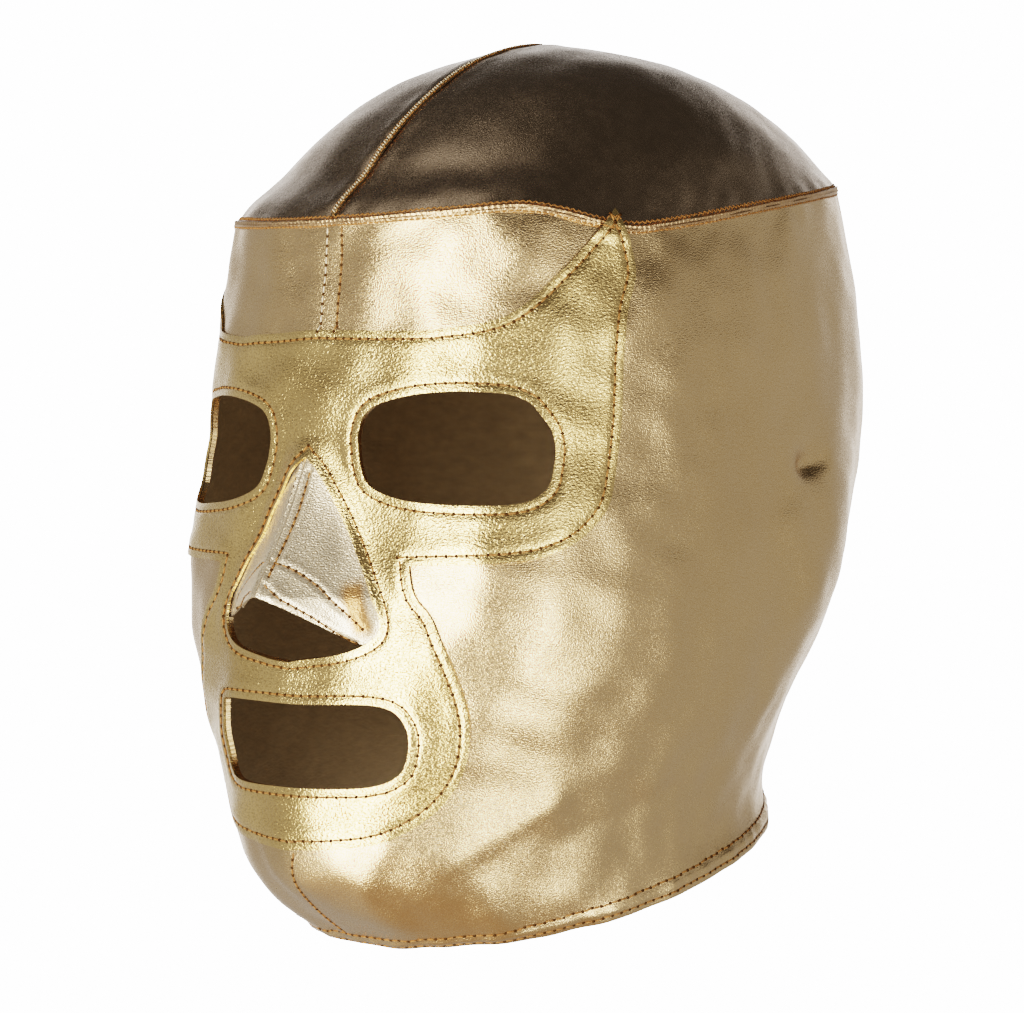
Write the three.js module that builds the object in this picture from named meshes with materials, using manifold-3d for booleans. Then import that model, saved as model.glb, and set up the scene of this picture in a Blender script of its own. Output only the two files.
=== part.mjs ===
// A cloth wrestling mask in its worn shape, in millimetres.
// +Z is up, the face looks along -Y and +X is the wearer's left.
// The origin is the inside of the crown, where the mask sits on the top of the head.
import * as THREE from 'three';
import { mergeVertices } from 'three/addons/utils/BufferGeometryUtils.js';
import Module from 'manifold-3d';

const wasm = await Module();
wasm.setup();

// Overall form
const MASK_HEIGHT = 237; // crown top down to the front of the neck edge
const HALF_WIDTH = 77; // centre plane out to the cloth over the ears
const FACE_REACH = 92; // crown axis forward to the cloth between the eyes
const NAPE_REACH = 95; // crown axis back to the fullest part of the head
const FOREHEAD_RISE = 9; // how much higher the crown seam runs over the forehead
const FOREHEAD_HALF_ANGLE = 34; // degrees each side of the middle that keep that rise
const TEMPLE_HALF_ANGLE = 60; // degrees by which the seam has come down again

// Cloth
const PANEL_WALL = 1.2;
const OVERLAY_WALL = 1.2;
const HEM_WALL = 2.4;
const HEM_PROUD = 0.6; // how far the turned hem stands out of the panels
const HEM_HEIGHT = 5.5;
const FIT_GAP = 0.3; // left between a cloth and the cloth sewn over it
const SEAM_GAP = 0.3; // left between two panels that are sewn edge to edge

// Welts on the crown seams
const WELT_HEIGHT = 2.4;
const WELT_RISE = 0.8;
const OVERLAY_STEP_DOWN = 3; // cloth in which the overlay comes down off the welt
const CROWN_WELT_WIDTH = 3.2;
const CROWN_WELT_RISE = 1.3;

// Nose, with its drops measured from the crown top
const NOSE_RISE = 17;
const NOSE_ROOT_DROP = 106;
const NOSE_TIP_DROP = 146;
const NOSE_BASE_DROP = 165;
const NOSE_ROOT_HALF_WIDTH = 6;
const NOSE_TIP_HALF_WIDTH = 25;
const NOSE_RIDGE_RADIUS = 2;
const NOSE_FLANK_POWER = 1.25; // over 1 hollows the flanks of the nose
const NOSE_RIDGE_POWER = 1.1; // over 1 hollows the line of the ridge

// Ear, cheek and neck shapes are shares of this rise
const DENT_RISE = 4;

// Openings; widths run round the face at the wrap radius
const EYE_INNER = 13.8; // centre plane to the inner end of an eye hole
const EYE_WIDTH = 47.2;
const EYE_TOP_DROP = 95.2;
const EYE_HEIGHT = 28.2;
const NOSE_WINDOW_TOP_DROP = 111.5;
const NOSE_WINDOW_HEIGHT = 50.5;
const NOSE_WINDOW_HALF_WIDTH = 22.5;
const NOSE_TURNING = 3; // nose cover cloth under the edge of the overlay
const MOUTH_TOP_DROP = 172;
const MOUTH_WIDTH = 54;
const MOUTH_HEIGHT = 21.8;
const MOUTH_SHIFT = 2.5; // the worn mouth hole sits a little to the wearer's left

// Overlay outline
const OVERLAY_TOP_DROP = 49.8; // crown top down to the peaks at the temples
const OVERLAY_HEIGHT = 159.4;
const OVERLAY_HALF_WIDTH = 82;

// Cross-sections from the crown top to the neck edge.
// Reaches are shares of the reach or half width they follow, drops of the mask height,
// the shift of the widest point is a share of the face reach, and the last three
// columns are the fullness of the front, of the back, and how fast the height sweeps.
const SECTION_COLUMNS = ['front', 'frontDrop', 'side', 'sideShift', 'sideDrop', 'back', 'backDrop',
  'frontFullness', 'backFullness', 'sweep'];
const SECTIONS = [
  [0, 0, 0, 0, 0, 0, 0, 2, 2, 2], // crown top
  [0.295, 0.025, 0.34, 0, 0.017, 0.285, 0.016, 2, 2, 2],
  [0.545, 0.08, 0.625, 0, 0.055, 0.575, 0.048, 2.1, 1.95, 2],
  [0.76, 0.156, 0.82, 0.01, 0.122, 0.79, 0.092, 2.25, 2, 1.6],
  [0.925, 0.257, 0.935, 0.02, 0.198, 0.905, 0.145, 2.4, 2.15, 1], // crown seam
  [0.955, 0.333, 0.985, 0.02, 0.308, 0.98, 0.283, 2.45, 2.2, 1], // forehead
  [0.99, 0.43, 1, 0.02, 0.422, 1, 0.414, 2.45, 2.2, 1], // brow
  [1, 0.532, 1, 0.03, 0.532, 0.915, 0.532, 2.6, 2.2, 1], // eyes
  [1.045, 0.633, 0.985, 0.055, 0.633, 0.8, 0.633, 2.7, 2.2, 1], // nose
  [1.09, 0.734, 0.92, 0.085, 0.726, 0.685, 0.717, 2.35, 2.2, 1], // upper lip
  [1.09, 0.827, 0.83, 0.11, 0.806, 0.655, 0.785, 2.1, 2.2, 1], // lower lip
  [1.045, 0.916, 0.765, 0.075, 0.873, 0.63, 0.831, 2, 2.2, 1], // chin
  [0.74, 1, 0.78, 0.03, 0.928, 0.63, 0.857, 2.1, 2.2, 1], // neck edge
];
const SEAM_ROW = SECTIONS.findIndex((row) => row.at(-1) === 1); // the first row with an even sweep
const LAST_ROW = SECTIONS.length - 1;
const HEM_BLEND_ROW = LAST_ROW - 2;

// Soft shapes pressed in or out of the cloth on both sides of the face. The angle runs from
// the front and the spread round it is in degrees, drop and height are shares of the mask
// height, and the rise is a share of the dent rise.
const DENT_COLUMNS = ['angle', 'drop', 'spread', 'height', 'rise'];
const DENTS = [
  [112, 0.555, 11, 0.1, 1], // ear
  [102, 0.473, 4, 0.018, -0.4], // hollow of the ear
  [128, 0.77, 16, 0.09, -0.6], // behind the jaw
  [37, 0.55, 12, 0.06, 0.5], // cheekbone
  [24, 0.75, 9, 0.09, -0.35], // beside the mouth
  [13, 0.965, 4, 0.035, 0.3], // first throat fold
  [31, 0.955, 4, 0.03, 0.25], // second throat fold
];

// Half of the overlay's edge in three stretches that meet at a peak and at a notch.
// Across is a share of the overlay's half width, down a share of its height.
const OVERLAY_BROW_EDGE = [[0, 0.185], [0.27, 0.189], [0.42, 0.188], [0.607, 0.167], [0.771, 0.092],
  [0.935, 0]];
const OVERLAY_TEMPLE_EDGE = [[0.935, 0], [1, 0.086], [0.957, 0.182], [0.93, 0.36], [0.875, 0.475],
  [0.7, 0.54], [0.352, 0.554]];
const OVERLAY_JAW_EDGE = [[0.352, 0.554], [0.372, 0.6], [0.434, 0.652], [0.51, 0.793], [0.455, 0.904],
  [0.274, 0.98], [0, 1]];

// Corners of the eye and mouth holes as shares of the hole's width and height,
// each with its round as a share of the height.
const EYE_CORNERS = [[0, 0, 0.4], [1, 0, 0.42], [1, 1, 0.38], [0, 0.93, 0.36]];
const MOUTH_CORNERS = [[0, 0, 0.12], [1, 0, 0.32], [1, 1, 0.36], [0, 1, 0.28]];

// Half of the nose window from its top point round to the middle of its lower edge,
// and the free lower edges of the nose cover from the ridge outwards. The right one is drawn higher.
const NOSE_WINDOW_SIDE = [[0, 0], [0.19, 0.085], [0.53, 0.33], [0.853, 0.622], [1, 0.8], [0.93, 0.89],
  [0.62, 0.956], [0, 1]];
const NOSE_LEFT_FREE_EDGE = [[0, 0.675], [0.156, 0.72], [0.3, 0.77], [0.627, 0.873], [1.1, 0.955]];
const NOSE_RIGHT_FREE_EDGE = [[0, 0.675], [0.25, 0.7], [0.68, 0.745], [1.1, 0.81]];

// Half-round of the crown welt, in shares of its width and of its rise.
const CROWN_WELT_SECTION = [[-0.5, 0], [-0.5, 0.5], [-0.2, 1], [0.2, 1], [0.5, 0.5], [0.5, 0]];

// How finely the cloth is divided: degrees from the front, then the step up to there.
const ANGLE_STEPS = [[8, 4], [56, 6], [72, 8], [180, 12]];
const CROWN_ROWS = [0, 0.6, 1.2, 1.8, 2.4, 3, 3.5];
const FACE_ROWS = [4.15, 4.6, 5, 5.5, 6, 6.4, 6.8, 7.2, 7.6, 8, 8.3, 8.6, 9, 9.5, 10, 10.5, 11, 11.5, 12];
const OVERLAY_FIRST_ROWS = [3.5, 3.85, 4];
const OVERLAY_HALF_ANGLE = 64;
const OVERLAY_LAST_ROW = 11.5;
const NOSE_COVER_HALF_ANGLE = 30;
const CURVE_STEPS = 3;
const CORNER_STEPS = 4;
const CROWN_WELT_STEPS = 12; // from the crown top to the front, and as many to the back
const LEVEL_STEP = 0.02; // share of a row used to find slopes and to walk along the cloth
const ANGLE_STEP = 0.5; // degrees used to find slopes
const SAME_POINT = 1e-4; // points closer than this are one point
const SHARPEST_MITRE = 0.3; // keeps a mitred corner from running far out

// Worked out from the sizes above
const WRAP_RADIUS = (HALF_WIDTH + FACE_REACH) / 2;
const CROWN_TOP = PANEL_WALL;
const ROW_HEIGHT = MASK_HEIGHT / 10; // about the cloth between two rows near the crown seam
const FAR_DEPTH = FACE_REACH * 2;
const NEAR_DEPTH = FACE_REACH / 10;
const LARGE = MASK_HEIGHT * 2;

const radians = THREE.MathUtils.degToRad;
const smooth = (value) => THREE.MathUtils.smoothstep(value, 0, 1);

function named(columns, rows) {
  return rows.map((row) => Object.fromEntries(columns.map((name, index) => [name, row[index]])));
}

const sectionRows = named(SECTION_COLUMNS, SECTIONS);
const dentRows = named(DENT_COLUMNS, DENTS);

// Slope of one column at a row, kept inside the crown or inside the face so the seam stays a crease.
function slopeAt(name, row, first, last) {
  if (row === 0) {
    return name.endsWith('Drop') ? 0 : sectionRows[1][name] - sectionRows[0][name];
  }
  const before = Math.max(row - 1, first);
  const after = Math.min(row + 1, last);
  return (sectionRows[after][name] - sectionRows[before][name]) / (after - before);
}

// One column of the section table at any level between rows, as a smooth curve.
function columnAt(name, level, first, last) {
  const row = Math.min(Math.max(Math.floor(level), first), last - 1);
  const t = level - row;
  const start = sectionRows[row][name];
  const end = sectionRows[row + 1][name];
  const startSlope = slopeAt(name, row, first, last);
  const endSlope = slopeAt(name, row + 1, first, last);
  return (2 * t ** 3 - 3 * t ** 2 + 1) * start + (t ** 3 - 2 * t ** 2 + t) * startSlope
    + (3 * t ** 2 - 2 * t ** 3) * end + (t ** 3 - t ** 2) * endSlope;
}

function noseRise(x, drop) {
  const down = THREE.MathUtils.clamp((drop - NOSE_ROOT_DROP) / (NOSE_TIP_DROP - NOSE_ROOT_DROP), 0, 1);
  const under = smooth((drop - NOSE_TIP_DROP) / (NOSE_BASE_DROP - NOSE_TIP_DROP));
  const halfWidth = THREE.MathUtils.lerp(NOSE_ROOT_HALF_WIDTH, NOSE_TIP_HALF_WIDTH, down);
  const aside = Math.hypot(x, NOSE_RIDGE_RADIUS) - NOSE_RIDGE_RADIUS;
  const flank = Math.max(1 - aside / halfWidth, 0) ** NOSE_FLANK_POWER;
  return NOSE_RISE * down ** NOSE_RIDGE_POWER * (1 - under) * flank;
}

function dentRise(angle, drop) {
  return dentRows.reduce((sum, dent) => {
    const round = (Math.abs(angle) - dent.angle) / dent.spread;
    const down = (drop / MASK_HEIGHT - dent.drop) / dent.height;
    return sum + DENT_RISE * dent.rise * Math.exp(-(round ** 2) - down ** 2);
  }, 0);
}

// Outer face of the cloth at a level between the rows and an angle in degrees from the front.
function surfacePoint(level, angle, first, last) {
  const column = (name) => columnAt(name, level, first, last);
  const forward = Math.cos(radians(angle));
  const aside = Math.sin(radians(angle));
  const isFront = forward >= 0;
  const widestY = -column('sideShift') * FACE_REACH;
  const reach = isFront ? column('front') * FACE_REACH + widestY : column('back') * NAPE_REACH - widestY;
  const fullness = isFront ? column('frontFullness') : column('backFullness');
  const halfWidth = column('side') * HALF_WIDTH;
  const radius = level === 0 ? 0
    : (Math.abs(forward / reach) ** fullness + Math.abs(aside / halfWidth) ** fullness) ** (-1 / fullness);
  const endDrop = column(isFront ? 'frontDrop' : 'backDrop');
  const sideDrop = column('sideDrop');
  const toTemple = (TEMPLE_HALF_ANGLE - Math.abs(angle)) / (TEMPLE_HALF_ANGLE - FOREHEAD_HALF_ANGLE);
  const rise = FOREHEAD_RISE * smooth(toTemple) * smooth(1 - Math.abs(level - SEAM_ROW));
  const drop = (sideDrop + (endDrop - sideDrop) * Math.abs(forward) ** column('sweep')) * MASK_HEIGHT - rise;
  const x = radius * aside;
  const y = widestY - radius * forward;
  const push = dentRise(angle, drop);
  const nose = isFront ? noseRise(x, drop) : 0;
  return new THREE.Vector3(x + push * aside, y - push * forward - nose, CROWN_TOP - drop);
}

// Unit normal of the crown side (first 0) or of the face side (first SEAM_ROW) of the cloth.
function surfaceNormal(level, angle, first, last) {
  if (level === 0) {
    return new THREE.Vector3(0, 0, 1);
  }
  const above = surfacePoint(Math.max(level - LEVEL_STEP, first), angle, first, last);
  const below = surfacePoint(Math.min(level + LEVEL_STEP, last), angle, first, last);
  const right = surfacePoint(level, angle - ANGLE_STEP, first, last);
  const left = surfacePoint(level, angle + ANGLE_STEP, first, last);
  return below.sub(above).cross(left.sub(right)).normalize();
}

// Direction in which a wall gets its thickness; beside the crown seam both panels share one mitre.
function wallDirection(level, angle) {
  const isBesideSeam = Math.abs(level - SEAM_ROW) * ROW_HEIGHT < WELT_HEIGHT / 2;
  if (!isBesideSeam) {
    return level < SEAM_ROW ? surfaceNormal(level, angle, 0, SEAM_ROW)
      : surfaceNormal(level, angle, SEAM_ROW, LAST_ROW);
  }
  const crown = surfaceNormal(SEAM_ROW, angle, 0, SEAM_ROW);
  const face = surfaceNormal(SEAM_ROW, angle, SEAM_ROW, LAST_ROW);
  return crown.clone().add(face).divideScalar(1 + crown.dot(face));
}

function clothPoint(level, angle, offset) {
  const [first, last] = level < SEAM_ROW ? [0, SEAM_ROW] : [SEAM_ROW, LAST_ROW];
  return surfacePoint(level, angle, first, last).addScaledVector(wallDirection(level, angle), offset);
}

// Level of the line that runs a given distance above the neck edge, measured along the cloth.
function levelAboveEdge(angle, distance) {
  let level = LAST_ROW;
  let walked = 0;
  let point = surfacePoint(level, angle, SEAM_ROW, LAST_ROW);
  while (walked < distance && level > SEAM_ROW + 1) {
    const next = surfacePoint(level - LEVEL_STEP, angle, SEAM_ROW, LAST_ROW);
    walked += next.distanceTo(point);
    level -= LEVEL_STEP;
    point = next;
  }
  return level;
}

// Rows below the lips close up so that the panels end on the hem.
function panelLevel(row, angle) {
  if (row <= HEM_BLEND_ROW) {
    return row;
  }
  const end = levelAboveEdge(angle, HEM_HEIGHT + 2 * SEAM_GAP);
  return THREE.MathUtils.mapLinear(row, HEM_BLEND_ROW, LAST_ROW, HEM_BLEND_ROW, end);
}

function angleList(limit) {
  const half = [0];
  for (const [end, step] of ANGLE_STEPS) {
    const start = half[half.length - 1];
    const count = Math.round((end - start) / step);
    for (let index = 1; index <= count; index += 1) {
      half.push(start + ((end - start) * index) / count);
    }
  }
  const kept = half.filter((angle) => angle <= limit);
  return [...kept.slice(1).reverse().map((angle) => -angle), ...kept];
}

function closedGeometry(points, faces) {
  const geometry = new THREE.BufferGeometry();
  geometry.setAttribute('position', new THREE.Float32BufferAttribute(points.flatMap((p) => p.toArray()), 3));
  geometry.setIndex(faces.flat());
  return mergeVertices(geometry, SAME_POINT);
}

// Wall of cloth between two offsets, over a list of rows and a list of angles.
// A wall that goes right round closes on itself, and any other gets an edge at each side.
function clothWall({ rows, angles, inner, outer, levelOf = (row) => row }) {
  const goesRound = angles[angles.length - 1] - angles[0] === 360;
  const across = goesRound ? angles.length - 1 : angles.length;
  const points = [];
  const faces = [];
  const offsetOf = (offset, row, angle) => (typeof offset === 'function' ? offset(row, angle) : offset);
  for (const offset of [outer, inner]) {
    for (const row of rows) {
      for (let column = 0; column < across; column += 1) {
        const angle = angles[column];
        points.push(clothPoint(levelOf(row, angle), angle, offsetOf(offset, row, angle)));
      }
    }
  }
  const at = (side, row, column) => (side * rows.length + row) * across + (column % across);
  const quad = (a, b, c, d) => faces.push([a, b, c], [a, c, d]);
  const cells = goesRound ? across : across - 1;
  for (let row = 0; row < rows.length - 1; row += 1) {
    for (let column = 0; column < cells; column += 1) {
      const below = row + 1;
      const beside = column + 1;
      quad(at(0, row, column), at(0, below, column), at(0, below, beside), at(0, row, beside));
      quad(at(1, row, column), at(1, row, beside), at(1, below, beside), at(1, below, column));
    }
  }
  const bottom = rows.length - 1;
  for (let column = 0; column < cells; column += 1) {
    const beside = column + 1;
    if (rows[0] > 0) {
      quad(at(1, 0, column), at(0, 0, column), at(0, 0, beside), at(1, 0, beside));
    }
    quad(at(0, bottom, column), at(1, bottom, column), at(1, bottom, beside), at(0, bottom, beside));
  }
  const end = across - 1;
  for (let row = 0; row < rows.length - 1 && !goesRound; row += 1) {
    const below = row + 1;
    quad(at(1, row, 0), at(1, below, 0), at(0, below, 0), at(0, row, 0));
    quad(at(0, row, end), at(0, below, end), at(1, below, end), at(1, row, end));
  }
  return closedGeometry(points, faces);
}

function toSolid(geometry) {
  const bare = geometry.clone();
  bare.deleteAttribute('normal');
  bare.deleteAttribute('uv');
  const merged = mergeVertices(bare, SAME_POINT);
  const index = merged.index.array;
  const kept = [];
  for (let face = 0; face < index.length; face += 3) {
    const [a, b, c] = index.slice(face, face + 3);
    if (a !== b && b !== c && a !== c) {
      kept.push(a, b, c);
    }
  }
  return new wasm.Manifold(new wasm.Mesh({
    numProp: 3,
    vertProperties: merged.attributes.position.array,
    triVerts: Uint32Array.from(kept),
  }));
}

function toMesh(name, solid, material) {
  const { vertProperties, triVerts } = solid.getMesh();
  const geometry = new THREE.BufferGeometry();
  geometry.setAttribute('position', new THREE.BufferAttribute(vertProperties, 3));
  geometry.setIndex(new THREE.BufferAttribute(triVerts, 1));
  const mesh = new THREE.Mesh(geometry, material);
  mesh.name = name;
  return mesh;
}

// Everything on one side of the centre plane, less half a seam.
function sideBlock(side) {
  const block = new THREE.BoxGeometry(LARGE, LARGE, LARGE);
  block.translate(side * (LARGE / 2 + SEAM_GAP / 2), 0, 0);
  return toSolid(block);
}

// Solid that cuts an outline out of the face, fanning out from the crown axis.
// The outline holds points as [across, drop], with across measured round the wrap radius.
function fanCutter(outline) {
  const contour = outline.map(([across, drop]) => (
    new THREE.Vector2(Math.tan(across / WRAP_RADIUS) * FAR_DEPTH, -drop)));
  if (THREE.ShapeUtils.isClockWise(contour)) {
    contour.reverse();
  }
  const count = contour.length;
  const layer = (depth) => contour.map(({ x, y }) => (
    new THREE.Vector3((x * depth) / FAR_DEPTH, -depth, CROWN_TOP + y)));
  const points = [...layer(FAR_DEPTH), ...layer(NEAR_DEPTH)];
  const caps = THREE.ShapeUtils.triangulateShape(contour, []);
  const faces = [...caps, ...caps.map(([a, b, c]) => [c + count, b + count, a + count])];
  for (let index = 0; index < count; index += 1) {
    const next = (index + 1) % count;
    faces.push([index, index + count, next + count], [index, next + count, next]);
  }
  return toSolid(closedGeometry(points, faces));
}

function smoothStretch(rows, width, height, top) {
  const knots = rows.map(([across, down]) => new THREE.Vector2(across * width, top + down * height));
  const curve = new THREE.SplineCurve(knots);
  return curve.getPoints((rows.length - 1) * CURVE_STEPS).map(({ x, y }) => [x, y]);
}

// The right half of an outline and its mirror image, with no point twice.
function mirrored(half) {
  const inside = half.filter(([across]) => across > SAME_POINT);
  const left = inside.map(([across, drop]) => [-across, drop]).reverse();
  return [half[0], ...inside, half[half.length - 1], ...left];
}

function roundedHole(corners, left, top, width, height) {
  const at = corners.map(([across, down]) => new THREE.Vector2(left + across * width, top + down * height));
  return corners.flatMap(([, , round], index) => {
    const corner = at[index];
    const towards = (neighbour) => at[neighbour % at.length].clone().sub(corner).setLength(round * height);
    const start = towards(index + at.length - 1).add(corner);
    const end = towards(index + 1).add(corner);
    const arc = new THREE.QuadraticBezierCurve(start, corner, end);
    return arc.getPoints(CORNER_STEPS).map(({ x, y }) => [x, y]);
  });
}

// Outline moved outwards by a clearance, with its corners mitred.
function grown(outline, clearance) {
  const points = outline.map(([x, y]) => new THREE.Vector2(x, y));
  const turn = THREE.ShapeUtils.isClockWise(points) ? -1 : 1;
  const outward = (from, to) => {
    const along = to.clone().sub(from).normalize();
    return new THREE.Vector2(turn * along.y, -turn * along.x);
  };
  return points.map((point, index) => {
    const before = outward(points[(index + points.length - 1) % points.length], point);
    const after = outward(point, points[(index + 1) % points.length]);
    const mitre = before.clone().add(after);
    mitre.divideScalar(Math.max(1 + before.dot(after), SHARPEST_MITRE));
    return [point.x + mitre.x * clearance, point.y + mitre.y * clearance];
  });
}

// The overlay's three stretches of edge in turn, and the same on the other side.
function overlayEdge() {
  const stretches = [OVERLAY_BROW_EDGE, OVERLAY_TEMPLE_EDGE, OVERLAY_JAW_EDGE];
  const half = stretches.flatMap((rows, index) => {
    const stretch = smoothStretch(rows, OVERLAY_HALF_WIDTH, OVERLAY_HEIGHT, OVERLAY_TOP_DROP);
    return index === 0 ? stretch : stretch.slice(1);
  });
  return mirrored(half);
}

const overlayOutline = overlayEdge();
const leftEyeOutline = roundedHole(EYE_CORNERS, EYE_INNER, EYE_TOP_DROP, EYE_WIDTH, EYE_HEIGHT);
const rightEyeOutline = leftEyeOutline.map(([across, drop]) => [-across, drop]);
const mouthLeft = MOUTH_SHIFT - MOUTH_WIDTH / 2;
const mouthOutline = roundedHole(MOUTH_CORNERS, mouthLeft, MOUTH_TOP_DROP, MOUTH_WIDTH, MOUTH_HEIGHT);
const noseWindowHalf = smoothStretch(NOSE_WINDOW_SIDE, NOSE_WINDOW_HALF_WIDTH, NOSE_WINDOW_HEIGHT,
  NOSE_WINDOW_TOP_DROP);
const noseWindowOutline = mirrored(noseWindowHalf);

// Half of the nose cover, which reaches under the overlay at its side and ends in its free edge below.
function noseCoverHalf(freeEdgeRows) {
  const freeEdge = smoothStretch(freeEdgeRows, NOSE_WINDOW_HALF_WIDTH, NOSE_WINDOW_HEIGHT,
    NOSE_WINDOW_TOP_DROP);
  const [, lowestDrop] = freeEdge[freeEdge.length - 1];
  const sides = noseWindowHalf
    .filter(([across, drop]) => drop < lowestDrop - NOSE_TURNING && across > 0)
    .map(([across, drop]) => [across + NOSE_TURNING, drop - NOSE_TURNING / 2]);
  const top = [0, NOSE_WINDOW_TOP_DROP - NOSE_TURNING * 2];
  return [top, ...sides, ...freeEdge.reverse()];
}

const noseCoverLeft = noseCoverHalf(NOSE_LEFT_FREE_EDGE);
const noseCoverRight = noseCoverHalf(NOSE_RIGHT_FREE_EDGE).slice(1, -1)
  .map(([across, drop]) => [-across, drop]);
const noseCover = [...noseCoverLeft, ...noseCoverRight.reverse()];

const crownCloth = new THREE.MeshStandardMaterial({ color: 0x54442f, roughness: 0.42, metalness: 0.6 });
const sideCloth = new THREE.MeshStandardMaterial({ color: 0xb49763, roughness: 0.45, metalness: 0.6 });
const overlayCloth = new THREE.MeshStandardMaterial({ color: 0xd0b765, roughness: 0.28, metalness: 0.75 });
const weltCord = new THREE.MeshStandardMaterial({ color: 0xc9b48a, roughness: 0.5, metalness: 0.5 });

function makeCrownPanels() {
  const wall = toSolid(clothWall({
    rows: [...CROWN_ROWS, SEAM_ROW - SEAM_GAP / 2 / ROW_HEIGHT],
    angles: angleList(180),
    inner: -PANEL_WALL,
    outer: 0,
  }));
  return [
    toMesh('crown_panel_left', wall.intersect(sideBlock(1)), crownCloth),
    toMesh('crown_panel_right', wall.intersect(sideBlock(-1)), crownCloth),
  ];
}

function makeSidePanels() {
  let wall = toSolid(clothWall({
    rows: [SEAM_ROW + SEAM_GAP / 2 / ROW_HEIGHT, ...FACE_ROWS],
    angles: angleList(180),
    inner: -PANEL_WALL,
    outer: 0,
    levelOf: panelLevel,
  }));
  const holes = [leftEyeOutline, rightEyeOutline, mouthOutline, noseWindowOutline,
    grown(noseCover, SEAM_GAP)];
  for (const outline of holes) {
    wall = wall.subtract(fanCutter(outline));
  }
  return [
    toMesh('side_panel_left', wall.intersect(sideBlock(1)), sideCloth),
    toMesh('side_panel_right', wall.intersect(sideBlock(-1)), sideCloth),
  ];
}

function makeNosePanels() {
  const wall = toSolid(clothWall({
    rows: FACE_ROWS.filter((row) => row > SEAM_ROW + 1 && row < HEM_BLEND_ROW),
    angles: angleList(NOSE_COVER_HALF_ANGLE),
    inner: -PANEL_WALL,
    outer: 0,
  }));
  const cover = wall.intersect(fanCutter(noseCover));
  return [
    toMesh('nose_panel_left', cover.intersect(sideBlock(1)), sideCloth),
    toMesh('nose_panel_right', cover.intersect(sideBlock(-1)), sideCloth),
  ];
}

// The overlay lies on the panels and steps over the welt where its peaks cross the crown seam.
function makeOverlay() {
  const slope = OVERLAY_STEP_DOWN / ROW_HEIGHT;
  const overWelt = (row) => (WELT_RISE + FIT_GAP) * smooth(2 - Math.abs(row - SEAM_ROW) / slope);
  const lift = (row) => FIT_GAP + overWelt(row);
  const rows = [...OVERLAY_FIRST_ROWS, ...FACE_ROWS.filter((row) => row <= OVERLAY_LAST_ROW)];
  const wall = toSolid(clothWall({
    rows,
    angles: angleList(OVERLAY_HALF_ANGLE),
    inner: lift,
    outer: (row) => lift(row) + OVERLAY_WALL,
    levelOf: panelLevel,
  }));
  let overlay = wall.intersect(fanCutter(overlayOutline));
  for (const outline of [leftEyeOutline, rightEyeOutline, mouthOutline, noseWindowOutline]) {
    overlay = overlay.subtract(fanCutter(outline));
  }
  return toMesh('face_overlay', overlay, overlayCloth);
}

function makeForeheadWelt() {
  const half = WELT_HEIGHT / 2 / ROW_HEIGHT;
  const crest = (row) => FIT_GAP + (row === SEAM_ROW ? WELT_RISE : WELT_RISE / 2);
  const wall = clothWall({
    rows: [SEAM_ROW - half, SEAM_ROW, SEAM_ROW + half],
    angles: angleList(180),
    inner: FIT_GAP,
    outer: crest,
  });
  return toMesh('forehead_welt', toSolid(wall), weltCord);
}

// Half-round band over the top of the head, from the forehead welt to the back.
function makeCrownWelt() {
  const end = SEAM_ROW - (WELT_HEIGHT / 2 + SEAM_GAP * 2) / ROW_HEIGHT;
  const places = [];
  for (let step = CROWN_WELT_STEPS; step > 0; step -= 1) {
    places.push([(end * step) / CROWN_WELT_STEPS, 0]);
  }
  for (let step = 0; step <= CROWN_WELT_STEPS; step += 1) {
    places.push([(end * step) / CROWN_WELT_STEPS, 180]);
  }
  const points = places.flatMap(([level, angle]) => CROWN_WELT_SECTION.map(([across, up]) => {
    const point = clothPoint(level, angle, FIT_GAP + up * CROWN_WELT_RISE);
    return point.setX(across * CROWN_WELT_WIDTH);
  }));
  const size = CROWN_WELT_SECTION.length;
  const faces = [];
  for (let place = 0; place < places.length - 1; place += 1) {
    for (let corner = 0; corner < size; corner += 1) {
      const next = (corner + 1) % size;
      const here = place * size;
      const onward = here + size;
      faces.push([here + corner, here + next, onward + next]);
      faces.push([here + corner, onward + next, onward + corner]);
    }
  }
  const lastPlace = (places.length - 1) * size;
  for (let corner = 1; corner < size - 1; corner += 1) {
    faces.push([0, corner + 1, corner], [lastPlace, lastPlace + corner, lastPlace + corner + 1]);
  }
  return toMesh('crown_welt', toSolid(closedGeometry(points, faces)), weltCord);
}

function makeNeckHem() {
  const wall = clothWall({
    rows: [0, 0.5, 1].map((share) => LAST_ROW - 1 + share),
    angles: angleList(180),
    inner: HEM_PROUD - HEM_WALL,
    outer: HEM_PROUD,
    levelOf: (row, angle) => {
      const top = levelAboveEdge(angle, HEM_HEIGHT);
      return THREE.MathUtils.mapLinear(row, LAST_ROW - 1, LAST_ROW, top, LAST_ROW);
    },
  });
  return toMesh('neck_hem', toSolid(wall), sideCloth);
}

const mask = new THREE.Group();
mask.add(
  ...makeCrownPanels(),
  ...makeSidePanels(),
  ...makeNosePanels(),
  makeOverlay(),
  makeForeheadWelt(),
  makeCrownWelt(),
  makeNeckHem(),
);

export default mask;
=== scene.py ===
"""Dresses a full-head wrestling mask: sewn metallic cloth, a gold surround, welts and stitching."""
import logging
import math
from dataclasses import dataclass, field
from enum import Enum
from typing import Callable

import bpy
import numpy as np
from mathutils import Matrix, Vector
from mathutils.bvhtree import BVHTree
from mathutils.kdtree import KDTree


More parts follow.
